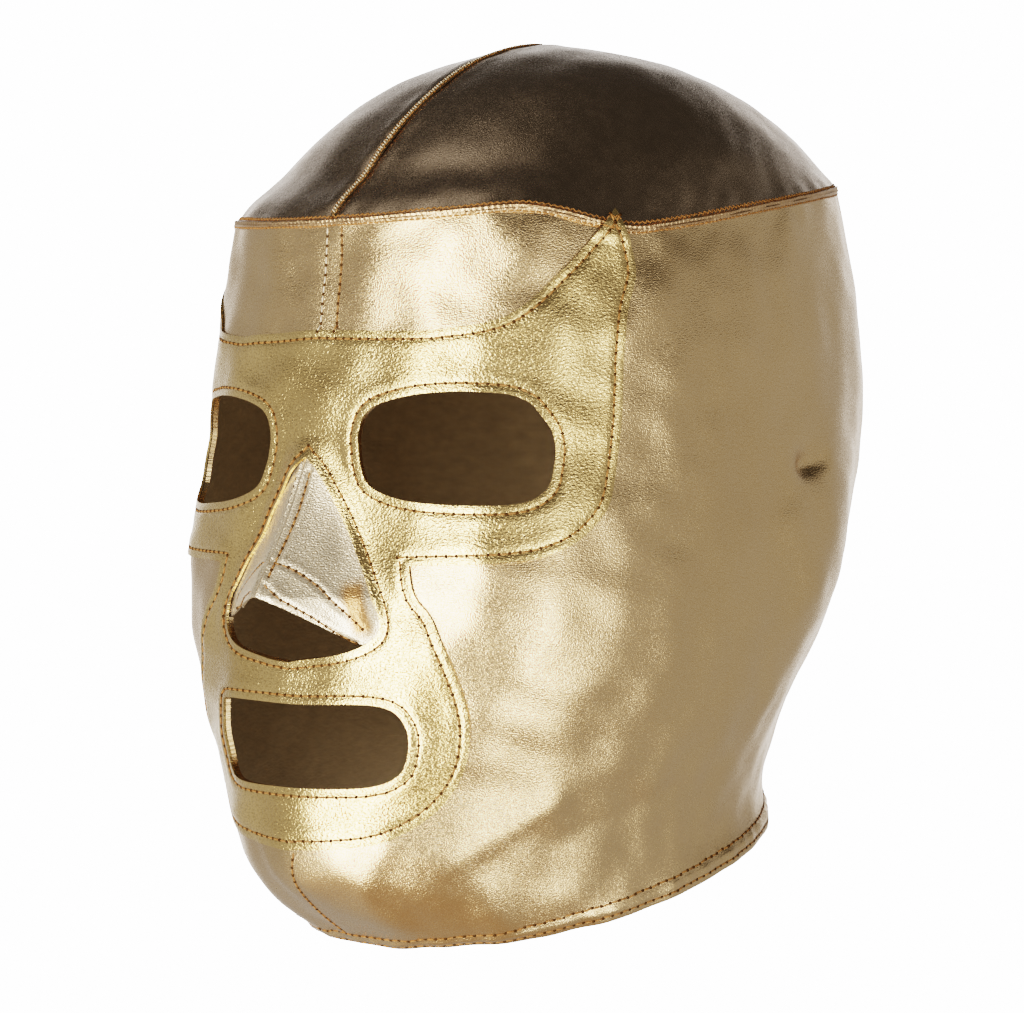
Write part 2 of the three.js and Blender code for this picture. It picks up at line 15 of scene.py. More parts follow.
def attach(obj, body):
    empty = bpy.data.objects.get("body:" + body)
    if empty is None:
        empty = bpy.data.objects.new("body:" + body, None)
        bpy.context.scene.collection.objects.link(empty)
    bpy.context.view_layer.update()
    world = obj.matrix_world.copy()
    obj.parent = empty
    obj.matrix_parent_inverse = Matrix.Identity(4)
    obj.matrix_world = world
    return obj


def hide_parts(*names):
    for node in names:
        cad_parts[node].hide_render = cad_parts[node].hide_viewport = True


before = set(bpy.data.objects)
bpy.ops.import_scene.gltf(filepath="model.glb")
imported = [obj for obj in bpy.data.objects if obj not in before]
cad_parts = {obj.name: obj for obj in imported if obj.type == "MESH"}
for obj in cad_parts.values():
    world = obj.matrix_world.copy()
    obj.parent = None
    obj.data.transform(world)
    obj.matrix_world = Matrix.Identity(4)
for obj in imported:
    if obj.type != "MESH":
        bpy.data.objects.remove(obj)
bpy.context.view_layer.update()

LOG = logging.getLogger("mask")
MM = 0.001
SEAM_ROW = 4
LAST_ROW = 12

Array = np.ndarray
Point = tuple[float, float]
Outline = list[Point]

SECTION_COLUMNS = ("front", "front_drop", "side", "side_shift", "side_drop", "back", "back_drop",
                   "front_fullness", "back_fullness", "sweep")
SECTIONS = np.array([
    [0, 0, 0, 0, 0, 0, 0, 2, 2, 2],  # crown top
    [0.295, 0.025, 0.34, 0, 0.017, 0.285, 0.016, 2, 2, 2],
    [0.545, 0.08, 0.625, 0, 0.055, 0.575, 0.048, 2.1, 1.95, 2],
    [0.76, 0.156, 0.82, 0.01, 0.122, 0.79, 0.092, 2.25, 2, 1.6],
    [0.925, 0.257, 0.935, 0.02, 0.198, 0.905, 0.145, 2.4, 2.15, 1],  # crown seam
    [0.955, 0.333, 0.985, 0.02, 0.308, 0.98, 0.283, 2.45, 2.2, 1],  # forehead
    [0.99, 0.43, 1, 0.02, 0.422, 1, 0.414, 2.45, 2.2, 1],  # brow
    [1, 0.532, 1, 0.03, 0.532, 0.915, 0.532, 2.6, 2.2, 1],  # eyes
    [1.045, 0.633, 0.985, 0.055, 0.633, 0.8, 0.633, 2.7, 2.2, 1],  # nose
    [1.09, 0.734, 0.92, 0.085, 0.726, 0.685, 0.717, 2.35, 2.2, 1],  # upper lip
    [1.09, 0.827, 0.83, 0.11, 0.806, 0.655, 0.785, 2.1, 2.2, 1],  # lower lip
    [1.045, 0.916, 0.765, 0.075, 0.873, 0.63, 0.831, 2, 2.2, 1],  # chin
    [0.74, 1, 0.78, 0.03, 0.928, 0.63, 0.857, 2.1, 2.2, 1],  # neck edge
])

DENT_COLUMNS = ("angle", "drop", "spread", "height", "rise")
DENTS = np.array([
    [112, 0.555, 11, 0.1, 1],  # ear
    [102, 0.473, 4, 0.018, -0.4],  # hollow of the ear
    [128, 0.77, 16, 0.09, -0.6],  # behind the jaw
    [37, 0.55, 12, 0.06, 0.5],  # cheekbone
    [24, 0.75, 9, 0.09, -0.35],  # beside the mouth
    [13, 0.965, 4, 0.035, 0.3],  # first throat fold
    [31, 0.955, 4, 0.03, 0.25],  # second throat fold
])


def smooth(value: Array) -> Array:
    """Eases a value between 0 and 1."""
    share = np.clip(value, 0.0, 1.0)
    return share * share * (3.0 - 2.0 * share)


def bump(value: Array, centre: float, width: float) -> Array:
    """Rises to 1 at a centre and falls off over a width."""
    return np.exp(-(((value - centre) / width) ** 2))


def section_slopes(first: int, last: int) -> Array:
    """Finds the slope of each section column at each row of one side of the crown seam.

    Args:
        first: The first row of that side.
        last: The last row of that side.

    Returns:
        The slopes, in the layout of the section table.
    """
    slopes = np.zeros_like(SECTIONS)
    for row in range(first, last + 1):
        before, after = max(row - 1, first), min(row + 1, last)
        slopes[row] = (SECTIONS[after] - SECTIONS[before]) / (after - before)
    if first == 0:
        drops = [SECTION_COLUMNS.index(name) for name in ("front_drop", "side_drop", "back_drop")]
        slopes[0, drops] = 0.0
    return slopes


@dataclass(frozen=True)
class HeadForm:
    """The filled-out form of the mask, in millimetres, over rows from the crown top down."""

    height: float = 237.0
    half_width: float = 77.0
    face_reach: float = 92.0
    nape_reach: float = 95.0
    forehead_rise: float = 9.0
    forehead_half_angle: float = 34.0
    temple_half_angle: float = 60.0
    crown_top: float = 1.2
    nose_rise: float = 17.0
    nose_root_drop: float = 106.0
    nose_tip_drop: float = 146.0
    nose_base_drop: float = 165.0
    nose_root_half_width: float = 6.0
    nose_tip_half_width: float = 25.0
    nose_ridge_radius: float = 2.0
    nose_flank_power: float = 1.25
    nose_ridge_power: float = 1.1
    dent_rise: float = 4.0
    mitre_reach: float = 1.2
    level_step: float = 0.02
    angle_step: float = 0.5
    crown_slopes: Array = field(default_factory=lambda: section_slopes(0, SEAM_ROW))
    face_slopes: Array = field(default_factory=lambda: section_slopes(SEAM_ROW, LAST_ROW))

    @property
    def wrap_radius(self) -> float:
        """Radius at which widths round the face are measured."""
        return (self.half_width + self.face_reach) / 2

    @property
    def row_height(self) -> float:
        """Cloth between two rows."""
        return self.height / 10

    def columns(self, level: Array, on_crown: Array) -> dict[str, Array]:
        """Reads every section column at levels between the rows, as smooth curves.

        Args:
            level: Levels from 0 at the crown top to the last row at the neck edge.
            on_crown: Whether each level belongs to the crown side of the seam.

        Returns:
            Each column's values by name.
        """
        first = np.where(on_crown, 0, SEAM_ROW)
        last = np.where(on_crown, SEAM_ROW, LAST_ROW)
        row = np.clip(np.floor(level).astype(int), first, last - 1)
        t = (level - row)[..., None]
        side = on_crown[..., None]
        start_slope = np.where(side, self.crown_slopes[row], self.face_slopes[row])
        end_slope = np.where(side, self.crown_slopes[row + 1], self.face_slopes[row + 1])
        values = ((2 * t**3 - 3 * t**2 + 1) * SECTIONS[row] + (t**3 - 2 * t**2 + t) * start_slope
                  + (3 * t**2 - 2 * t**3) * SECTIONS[row + 1] + (t**3 - t**2) * end_slope)
        return {name: values[..., index] for index, name in enumerate(SECTION_COLUMNS)}

    def nose(self, x: Array, drop: Array) -> Array:
        """Gives how far the nose pushes the cloth forward."""
        down = np.clip((drop - self.nose_root_drop) / (self.nose_tip_drop - self.nose_root_drop), 0, 1)
        under = smooth((drop - self.nose_tip_drop) / (self.nose_base_drop - self.nose_tip_drop))
        widening = self.nose_tip_half_width - self.nose_root_half_width
        half_width = self.nose_root_half_width + down * widening
        aside = np.hypot(x, self.nose_ridge_radius) - self.nose_ridge_radius
        flank = np.maximum(1 - aside / half_width, 0) ** self.nose_flank_power
        return self.nose_rise * down**self.nose_ridge_power * (1 - under) * flank

    def dents(self, angle: Array, drop: Array) -> Array:
        """Gives how far ears, cheeks and hollows push the cloth out."""
        total = np.zeros_like(drop)
        for at, down, spread, height, rise in DENTS:
            round_share = (np.abs(angle) - at) / spread
            down_share = (drop / self.height - down) / height
            total += self.dent_rise * rise * np.exp(-(round_share**2) - down_share**2)
        return total

    def point(self, level: Array, angle: Array, on_crown: Array | None = None) -> Array:
        """Places points of the outer face of the cloth.

        Args:
            level: Levels between the rows.
            angle: Degrees from the front, positive to the wearer's left.
            on_crown: The side of the crown seam each point is on; found from the level if left out.

        Returns:
            One point a row, in millimetres.
        """
        level, angle = np.broadcast_arrays(np.asarray(level, float), np.asarray(angle, float))
        on_crown = level < SEAM_ROW if on_crown is None else on_crown
        column = self.columns(level, on_crown)
        forward, aside = np.cos(np.radians(angle)), np.sin(np.radians(angle))
        is_front = forward >= 0
        widest_y = -column["side_shift"] * self.face_reach
        reach = np.where(is_front, column["front"] * self.face_reach + widest_y,
                         column["back"] * self.nape_reach - widest_y)
        fullness = np.where(is_front, column["front_fullness"], column["back_fullness"])
        half_width = column["side"] * self.half_width
        reach, half_width = np.maximum(reach, 1e-6), np.maximum(half_width, 1e-6)
        radius = (np.abs(forward / reach) ** fullness
                  + np.abs(aside / half_width) ** fullness) ** (-1 / fullness)
        end_drop = np.where(is_front, column["front_drop"], column["back_drop"])
        side_drop = column["side_drop"]
        to_temple = ((self.temple_half_angle - np.abs(angle))
                     / (self.temple_half_angle - self.forehead_half_angle))
        rise = self.forehead_rise * smooth(to_temple) * smooth(1 - np.abs(level - SEAM_ROW))
        drop = (side_drop + (end_drop - side_drop) * np.abs(forward) ** column["sweep"]) * self.height - rise
        x, y = radius * aside, widest_y - radius * forward
        push = self.dents(angle, drop)
        nose = np.where(is_front, self.nose(x, drop), 0.0)
        return np.stack([x + push * aside, y - push * forward - nose, self.crown_top - drop], -1)

    def face_normal(self, level: Array, angle: Array, on_crown: Array) -> Array:
        """Gives unit normals of one side of the crown seam."""
        low = np.where(on_crown, 0.0, float(SEAM_ROW))
        high = np.where(on_crown, float(SEAM_ROW), float(LAST_ROW))
        above = self.point(np.clip(level - self.level_step, low, high), angle, on_crown)
        below = self.point(np.clip(level + self.level_step, low, high), angle, on_crown)
        right = self.point(level, angle - self.angle_step, on_crown)
        left = self.point(level, angle + self.angle_step, on_crown)
        normal = np.cross(below - above, left - right)
        length = np.linalg.norm(normal, axis=-1, keepdims=True)
        up = np.broadcast_to(np.array([0.0, 0.0, 1.0]), normal.shape)
        return np.where(length > 1e-9, normal / np.maximum(length, 1e-9), up)

    def normal(self, level: Array, angle: Array) -> Array:
        """Gives the direction in which cloth gets its thickness, mitred beside the crown seam.

        Args:
            level: Levels between the rows.
            angle: Degrees from the front.

        Returns:
            One direction a row.
        """
        level, angle = np.broadcast_arrays(np.asarray(level, float), np.asarray(angle, float))
        plain = self.face_normal(level, angle, level < SEAM_ROW)
        seam = np.full_like(level, SEAM_ROW)
        crown = self.face_normal(seam, angle, np.ones(level.shape, bool))
        face = self.face_normal(seam, angle, np.zeros(level.shape, bool))
        mitre = (crown + face) / (1 + (crown * face).sum(-1, keepdims=True))
        near = 1 - smooth(np.abs(level - SEAM_ROW) * self.row_height / self.mitre_reach - 0.5)
        blended = plain * (1 - near[..., None]) + mitre * near[..., None]
        return blended

    def place(self, level: Array, angle: Array, offset: Array | float = 0.0) -> Array:
        """Places points at a height over the outer face of the cloth, in metres."""
        lift = np.broadcast_to(np.asarray(offset, float), np.broadcast(level, angle).shape)[..., None]
        return (self.point(level, angle) + self.normal(level, angle) * lift) * MM

    def pattern(self, level: Array, angle: Array) -> Array:
        """Measures points as across, round the wrap radius, and drop from the crown top."""
        spot = self.point(level, angle)
        across = self.wrap_radius * np.arctan2(spot[..., 0], -spot[..., 1])
        return np.stack([across, self.crown_top - spot[..., 2]], -1)

    def locate(self, outline: Outline) -> Array:
        """Finds the level and angle of outline points given as across and drop.

        Args:
            outline: Points as across and drop, in millimetres.

        Returns:
            Level and angle, one pair a row.
        """
        target = np.array(outline, float)
        level = np.interp(target[:, 1] / self.height, SECTIONS[:, 1], np.arange(LAST_ROW + 1.0))
        angle = np.degrees(target[:, 0] / self.wrap_radius)
        step = 1e-3
        for _ in range(25):
            here = self.pattern(level, angle)
            down = (self.pattern(level + step, angle) - here) / step
            over = (self.pattern(level, angle + step) - here) / step
            miss = target - here
            area = down[:, 0] * over[:, 1] - down[:, 1] * over[:, 0]
            area = np.where(np.abs(area) < 1e-6, 1e-6, area)
            level = level + np.clip((miss[:, 0] * over[:, 1] - miss[:, 1] * over[:, 0]) / area, -0.3, 0.3)
            angle = angle + np.clip((miss[:, 1] * down[:, 0] - miss[:, 0] * down[:, 1]) / area, -4.0, 4.0)
            level = np.clip(level, 0.05, LAST_ROW - 2 * step)
        return np.stack([level, angle], -1)

    def level_above_edge(self, angle: Array, distance: float) -> Array:
        """Finds the level of the line that runs a distance above the neck edge.

        Args:
            angle: Degrees from the front.
            distance: Cloth between that line and the edge, in millimetres.

        Returns:
            One level an angle.
        """
        angle = np.asarray(angle, float)
        step = 0.02
        level = np.full_like(angle, float(LAST_ROW))
        walked = np.zeros_like(angle)
        spot = self.point(level, angle)
        for _ in range(60):
            going = walked < distance
            following = self.point(level - step, angle)
            walked = np.where(going, walked + np.linalg.norm(following - spot, axis=-1), walked)
            level = np.where(going, level - step, level)
            spot = np.where(going[..., None], following, spot)
        return level


FORM = HeadForm()


def spline(knots: Outline, steps: int, closed: bool = False) -> Outline:
    """Runs a smooth curve through knots.

    Args:
        knots: The points that the curve passes.
        steps: Points between two knots.
        closed: Whether the curve returns to its first knot.

    Returns:
        The points of the curve; an open one has both of its ends.
    """
    at = np.array(knots, float)
    padded = np.vstack([at[-1], at, at[:2]]) if closed else np.vstack([at[0], at, at[-1]])
    t = (np.arange(steps) / steps)[:, None]
    points: Outline = []
    for before, start, end, after in zip(padded, padded[1:], padded[2:], padded[3:]):
        start_slope, end_slope = (end - before) / 2, (after - start) / 2
        spots = ((2 * t**3 - 3 * t**2 + 1) * start + (t**3 - 2 * t**2 + t) * start_slope
                 + (3 * t**2 - 2 * t**3) * end + (t**3 - t**2) * end_slope)
        points += [(float(x), float(y)) for x, y in spots]
    return points if closed else points + [(float(at[-1][0]), float(at[-1][1]))]


def mirrored(half: Outline) -> Outline:
    """Closes the left half of an outline with its mirror image, with no point twice."""
    inside = [spot for spot in half if spot[0] > 1e-4]
    return [half[0], *inside, half[-1], *[(-across, drop) for across, drop in reversed(inside)]]


def grown(outline: Outline, clearance: float) -> Outline:
    """Moves a closed outline outwards, or inwards for a negative clearance, with mitred corners.

    Args:
        outline: The closed outline.
        clearance: How far it moves.

    Returns:
        The moved outline.
    """
    at = np.array(outline, float)
    turned = np.roll(at, -1, 0)
    area = float((at[:, 0] * turned[:, 1] - turned[:, 0] * at[:, 1]).sum()) / 2
    along = turned - at
    along /= np.maximum(np.linalg.norm(along, axis=1, keepdims=True), 1e-9)
    outward = np.stack([along[:, 1], -along[:, 0]], -1) * math.copysign(1.0, area)
    before = np.roll(outward, 1, 0)
    dot = (outward * before).sum(1, keepdims=True)
    mitre = (outward + before) / np.maximum(1 + dot, 0.3)
    return [(float(x), float(y)) for x, y in at + mitre * clearance]


@dataclass(frozen=True)
class CutPattern:
    """The outlines that the cloth is cut to, as across and drop in millimetres."""

    overlay_top_drop: float = 49.8
    overlay_height: float = 159.4
    overlay_half_width: float = 82.0
    eye_inner: float = 14.0
    eye_width: float = 46.8
    eye_top_drop: float = 95.2
    eye_height: float = 28.2
    window_top_drop: float = 111.5
    window_height: float = 50.5
    window_half_width: float = 22.5
    nose_turning: float = 3.0
    mouth_top_drop: float = 172.3
    mouth_width: float = 51.8
    mouth_height: float = 21.2
    mouth_left: float = -23.0
    curve_steps: int = 14
    ring_steps: int = 6
    brow_edge: tuple[Point, ...] = ((0, 0.185), (0.27, 0.189), (0.42, 0.188), (0.607, 0.167), (0.771, 0.092),
                                    (0.935, 0))
    temple_edge: tuple[Point, ...] = ((0.935, 0), (1, 0.086), (0.957, 0.182), (0.93, 0.36), (0.875, 0.475),
                                      (0.7, 0.54), (0.352, 0.554))
    jaw_edge: tuple[Point, ...] = ((0.352, 0.554), (0.372, 0.6), (0.434, 0.652), (0.51, 0.793),
                                   (0.455, 0.904), (0.274, 0.98), (0, 1))
    eye_ring: tuple[Point, ...] = (
        (0.517, 0), (0.308, 0.028), (0.118, 0.103), (0.032, 0.2), (0, 0.348), (0.006, 0.5), (0.021, 0.652),
        (0.062, 0.805), (0.156, 0.9), (0.323, 0.968), (0.543, 0.996), (0.72, 1), (0.846, 0.972),
        (0.921, 0.911), (0.97, 0.816), (0.991, 0.66), (1, 0.504), (0.981, 0.351), (0.929, 0.213),
        (0.876, 0.103), (0.793, 0.035), (0.707, 0.014))
    mouth_ring: tuple[Point, ...] = (
        (0.02, 0.014), (0.06, 0), (0.252, 0.01), (0.504, 0.028), (0.783, 0), (0.9, 0.025), (0.961, 0.11),
        (0.994, 0.265), (1, 0.43), (0.99, 0.6), (0.969, 0.75), (0.93, 0.853), (0.872, 0.93),
        (0.766, 0.98), (0.504, 1), (0.252, 0.99), (0.116, 0.957), (0.048, 0.886), (0.01, 0.744),
        (0, 0.507), (0.004, 0.223), (0.008, 0.05))
    window_side: tuple[Point, ...] = ((0, 0), (0.19, 0.085), (0.53, 0.33), (0.853, 0.622), (1, 0.8),
                                      (0.93, 0.89), (0.62, 0.956), (0, 1))
    left_free_edge: tuple[Point, ...] = ((0, 0.675), (0.156, 0.72), (0.3, 0.77), (0.627, 0.873),
                                         (1.1, 0.955))
    right_free_edge: tuple[Point, ...] = ((0, 0.675), (0.25, 0.7), (0.68, 0.745), (1.1, 0.81))

    def stretch(self, rows: tuple[Point, ...], width: float, height: float, top: float) -> Outline:
        """Draws one stretch of an outline from its shares.

        Args:
            rows: Knots as shares of the width and of the height.
            width: The width that the shares follow.
            height: The height that the shares follow.
            top: The drop at which the height starts.

        Returns:
            The smooth stretch.
        """
        return spline([(across * width, top + down * height) for across, down in rows], self.curve_steps)

    def ring(self, rows: tuple[Point, ...], left: float, top: float, width: float, height: float) -> Outline:
        """Draws a smooth closed outline from its shares.

        Args:
            rows: Knots as shares of the width and of the height.
            left: Where the outline starts across.
            top: The drop of its top.
            width: Its width.
            height: Its height.

        Returns:
            The closed outline.
        """
        knots = [(left + across * width, top + down * height) for across, down in rows]
        return spline(knots, self.ring_steps, closed=True)

    def overlay(self) -> Outline:
        """Draws the outer edge of the gold surround."""
        half: Outline = []
        for rows in (self.brow_edge, self.temple_edge, self.jaw_edge):
            line = self.stretch(rows, self.overlay_half_width, self.overlay_height, self.overlay_top_drop)
            half += line if not half else line[1:]
        return mirrored(half)

    def left_eye(self) -> Outline:
        """Draws the eye hole on the wearer's left."""
        return self.ring(self.eye_ring, self.eye_inner, self.eye_top_drop, self.eye_width, self.eye_height)

    def right_eye(self) -> Outline:
        """Draws the eye hole on the wearer's right."""
        return [(-across, drop) for across, drop in self.left_eye()]

    def mouth(self) -> Outline:
        """Draws the mouth hole."""
        return self.ring(self.mouth_ring, self.mouth_left, self.mouth_top_drop, self.mouth_width,
                         self.mouth_height)

    def window_half(self) -> Outline:
        """Draws the left half of the nose window."""
        return self.stretch(self.window_side, self.window_half_width, self.window_height,
                            self.window_top_drop)

    def window(self) -> Outline:
        """Draws the nose window."""
        return mirrored(self.window_half())

    def free_edge_line(self, side: int) -> Outline:
        """Draws one half of the nose cover's free lower edge, from the ridge outwards.

        Args:
            side: 1 for the wearer's left, -1 for the right.

        Returns:
            The edge, on its own side of the ridge.
        """
        rows = self.left_free_edge if side > 0 else self.right_free_edge
        line = self.stretch(rows, self.window_half_width, self.window_height, self.window_top_drop)
        return [(side * across, drop) for across, drop in line]

    def nose_cover(self) -> Outline:
        """Draws the nose cover, which reaches under the surround and ends in its free edge."""
        halves = []
        for side in (1, -1):
            free_edge = self.free_edge_line(side)
            lowest = free_edge[-1][1] - self.nose_turning
            flank = [(side * (across + self.nose_turning), drop - self.nose_turning / 2)
                     for across, drop in self.window_half() if drop < lowest and across > 0]
            halves.append([*flank, *reversed(free_edge)])
        top = (0.0, self.window_top_drop - self.nose_turning * 2)
        return [top, *halves[0], *reversed(halves[1][:-1])]

    def plain_rows(self) -> list[Outline]:
        """Draws the rows of sewing that run down the forehead and the chin."""
        forehead = [[(across, 53.0), (across, 66.0), (across, 80.0)] for across in (-0.6, 4.3)]
        chin = [(1.2, 209.6), (-0.7, 214.6), (-2.6, 220.1), (-5.4, 226.8), (-7.4, 233.8)]
        return [spline(line, 12) for line in (*forehead, chin)]

    def nose_rows(self) -> dict[str, Outline]:
        """Draws the rows of sewing on the nose cover: beside the ridge and along the hem."""
        rows = {
            "ridge_left": [(1.4, 114.7), (1.6, 124.0), (1.2, 133.0), (0.9, 141.0)],
            "ridge_right": [(-2.2, 114.7), (-2.3, 124.0), (-2.6, 133.0), (-2.8, 141.0)],
            "upper_left": [(0.5, 137.2), (4.6, 139.1), (10.0, 143.3), (14.3, 148.3), (19.0, 153.7)],
            "lower_left": [(0.6, 142.5), (4.0, 146.0), (8.5, 150.2), (13.6, 155.0), (17.5, 157.2)],
            "upper_right": [(-3.4, 137.2), (-8.0, 139.2), (-13.0, 142.6), (-18.0, 147.4)],
            "lower_right": [(-2.4, 143.8), (-6.0, 145.3), (-11.0, 147.2), (-16.5, 149.6)],
        }
        return {name: spline(line, 10) for name, line in rows.items()}

    def openings(self) -> list[Outline]:
        """Lists the holes of the gold surround."""
        return [self.left_eye(), self.right_eye(), self.mouth(), self.window()]


PATTERN = CutPattern()


class Keep(Enum):
    """Which part of a blank stays when it is cut along an outline."""

    INSIDE = "INTERSECT"
    OUTSIDE = "DIFFERENCE"


def only(piece: bpy.types.Object) -> bpy.types.Object:
    """Selects one object alone and makes it active."""
    if bpy.context.mode != "OBJECT":
        bpy.ops.object.mode_set(mode="OBJECT")
    bpy.ops.object.select_all(action="DESELECT")
    piece.select_set(True)
    bpy.context.view_layer.objects.active = piece
    return piece


def apply_modifier(piece: bpy.types.Object, kind: str, **settings: object) -> None:
    """Adds a modifier to a piece with its settings and applies it.

    Args:
        piece: The piece.
        kind: Blender's name for the modifier.
        settings: The modifier's values by name.
    """
    only(piece)
    modifier = piece.modifiers.new(kind.title(), kind)
    for name, value in settings.items():
        setattr(modifier, name, value)
    bpy.ops.object.modifier_apply(modifier=modifier.name)


def cloth_blank(name: str, low: Point, high: Point, cell: float) -> bpy.types.Object:
    """Lays out a flat rectangle of cloth, divided into square cells.

    Args:
        name: The piece's name.
        low: Its lowest corner, in millimetres.
        high: Its highest corner, in millimetres.
        cell: The size of a cell, in millimetres.

    Returns:
        The flat piece, at its place in the pattern.
    """
    width, length = high[0] - low[0], high[1] - low[1]
    bpy.ops.object.select_all(action="DESELECT")
    bpy.ops.mesh.primitive_grid_add(x_subdivisions=max(2, round(width / cell)),
                                    y_subdivisions=max(2, round(length / cell)), size=1)
    piece = bpy.context.object
    piece.name = piece.data.name = name
    piece.scale = (width * MM, length * MM, 1)
    piece.location = ((low[0] + high[0]) / 2 * MM, (low[1] + high[1]) / 2 * MM, 0)
    bpy.ops.object.transform_apply(location=True, rotation=True, scale=True)
    return piece


def cutting_die(outline: Array) -> bpy.types.Object:
    """Raises a closed outline into the solid that a blank is cut with.

    Args:
        outline: The outline's flat points, in metres.

    Returns:
        The cutting solid, reaching above and below the blank.
    """
    mesh = bpy.data.meshes.new("cutting_die")
    mesh.from_pydata([(x, y, -0.01) for x, y in outline], [], [tuple(range(len(outline)))])
    die = bpy.data.objects.new("cutting_die", mesh)
    bpy.context.scene.collection.objects.link(die)
    only(die)
    bpy.ops.object.mode_set(mode="EDIT")
    bpy.ops.mesh.select_all(action="SELECT")
    bpy.ops.mesh.extrude_region_move(TRANSFORM_OT_translate={"value": (0, 0, 0.02)})
    bpy.ops.mesh.select_all(action="SELECT")
    bpy.ops.mesh.normals_make_consistent(inside=False)
    bpy.ops.object.mode_set(mode="OBJECT")
    return die


def cut_blank(piece: bpy.types.Object, outline: Array, keep: Keep) -> None:
    """Cuts a flat blank along an outline.

    Args:
        piece: The flat blank.
        outline: The outline's flat points, in metres.
        keep: Which part stays.
    """
    die = cutting_die(outline)
    apply_modifier(piece, "BOOLEAN", operation=keep.value, object=die, solver="EXACT")
    bpy.data.objects.remove(die)
    only(piece)
    bpy.ops.object.mode_set(mode="EDIT")
    bpy.ops.mesh.select_mode(type="FACE")
    bpy.ops.mesh.select_all(action="DESELECT")
    bpy.ops.object.mode_set(mode="OBJECT")
    for polygon in piece.data.polygons:
        polygon.select = abs(polygon.center.z) > 1e-5
    bpy.ops.object.mode_set(mode="EDIT")
    bpy.ops.mesh.delete(type="FACE")
    bpy.ops.object.mode_set(mode="OBJECT")


def to_flat(located: Array) -> Array:
    """Turns levels and angles into flat places of the face's cloth, in metres."""
    across = np.radians(located[:, 1]) * FORM.wrap_radius
    return np.stack([across, -located[:, 0] * FORM.row_height], -1) * MM


def flat_points(piece: bpy.types.Object) -> Array:
    """Reads a flat piece's points, in millimetres."""
    flat = np.zeros(len(piece.data.vertices) * 3)
    piece.data.vertices.foreach_get("co", flat)
    return flat.reshape(-1, 3)[:, :2] / MM


def lay_on_form(piece: bpy.types.Object, laid: Callable[[Array], Array]) -> None:
    """Keeps a flat piece's places as its UV map and lays the piece on the form.

    Args:
        piece: The flat piece.
        laid: Gives points in metres for flat points in millimetres.
    """
    mesh = piece.data
    flat = flat_points(piece)
    loops = np.zeros(len(mesh.loops), int)
    mesh.loops.foreach_get("vertex_index", loops)
    layer = mesh.uv_layers.active or mesh.uv_layers.new(name="UVMap")
    layer.data.foreach_set("uv", (flat[loops] * MM).astype(np.float32).ravel())
    mesh.vertices.foreach_set("co", laid(flat).astype(np.float32).ravel())
    mesh.update()


def thicken(piece: bpy.types.Object, wall: float) -> None:
    """Gives laid cloth its wall, with the lining as the inner face.

    Args:
        piece: The laid cloth.
        wall: Its thickness, in millimetres.
    """
    only(piece)
    bpy.ops.object.mode_set(mode="EDIT")
    bpy.ops.mesh.select_all(action="SELECT")
    bpy.ops.mesh.remove_doubles(threshold=2e-6)
    bpy.ops.mesh.normals_make_consistent(inside=False)
    bpy.ops.object.mode_set(mode="OBJECT")
    face_out(piece)
    apply_modifier(piece, "SOLIDIFY", thickness=wall * MM, offset=-1.0, material_offset=1,
                   material_offset_rim=0)
    bpy.ops.object.shade_smooth_by_angle(angle=math.radians(58))


def face_out(piece: bpy.types.Object) -> None:
    """Turns a sheet's faces away from the middle of the head."""
    centre = Vector((0, 0, -0.1))
    votes = sum((polygon.center - centre).dot(polygon.normal) for polygon in piece.data.polygons)
    if votes < 0:
        bpy.ops.object.mode_set(mode="EDIT")
        bpy.ops.mesh.select_all(action="SELECT")
        bpy.ops.mesh.flip_normals()
        bpy.ops.object.mode_set(mode="OBJECT")


@dataclass
class SeamTrack:
    """A line along the cloth, for reliefs that follow it and for the stitches on it."""

    levels: Array
    angles: Array
    closed: bool = True
    spacing: float = 0.4

    def __post_init__(self) -> None:
        """Resamples the line evenly and makes it ready to be measured from."""
        ring = [0] if self.closed else []
        order = [*range(len(self.levels)), *ring]
        levels, angles = self.levels[order], self.angles[order]
        spots = FORM.point(levels, angles)
        steps = np.linalg.norm(np.diff(spots, axis=0), axis=1)
        reach = np.concatenate([[0.0], np.cumsum(steps)])
        self.length = float(reach[-1])
        self.along = np.arange(0.0, self.length, self.spacing)
        self.levels = np.interp(self.along, reach, levels)
        self.angles = np.interp(self.along, reach, angles)
        self.spots = FORM.point(self.levels, self.angles)
        self.tree = KDTree(len(self.spots))
        for index, spot in enumerate(self.spots):
            self.tree.insert(spot, index)
        self.tree.balance()

    @classmethod
    def on_outline(cls, outline: Outline, closed: bool = True) -> "SeamTrack":
        """Lays a track along an outline of the pattern."""
        located = FORM.locate(outline)
        return cls(located[:, 0], located[:, 1], closed)

    def measure(self, spots: Array) -> tuple[Array, Array]:
        """Measures points from the line.

        Args:
            spots: Points in millimetres.

        Returns:
            Each point's distance from the line, and how far along it the nearest place is.
        """
        found = [self.tree.find(spot) for spot in spots]
        distance = np.array([entry[2] for entry in found])
        along = self.along[[entry[1] for entry in found]]
        return distance, along


def edge_relief(distance: Array, along: Array, line: float = 2.0) -> Array:
    """Shapes cloth beside a turned and stitched edge.

    Args:
        distance: Distance from the edge, in millimetres.
        along: Place along the edge, in millimetres.
        line: Distance of the stitch line from the edge.

    Returns:
        The height of the cloth, in millimetres.
    """
    wander = np.sin(along / 2.4 + 1.5 * np.sin(along / 9.0)) + 0.5 * np.sin(along / 1.15)
    pucker = 0.05 * wander * bump(distance, line + 1.3, 1.5)
    rolled = 0.1 * bump(distance, line * 0.45, 0.75)
    return rolled - 0.24 * bump(distance, line, 0.42) + 0.13 * bump(distance, line + 1.9, 1.5) + pucker


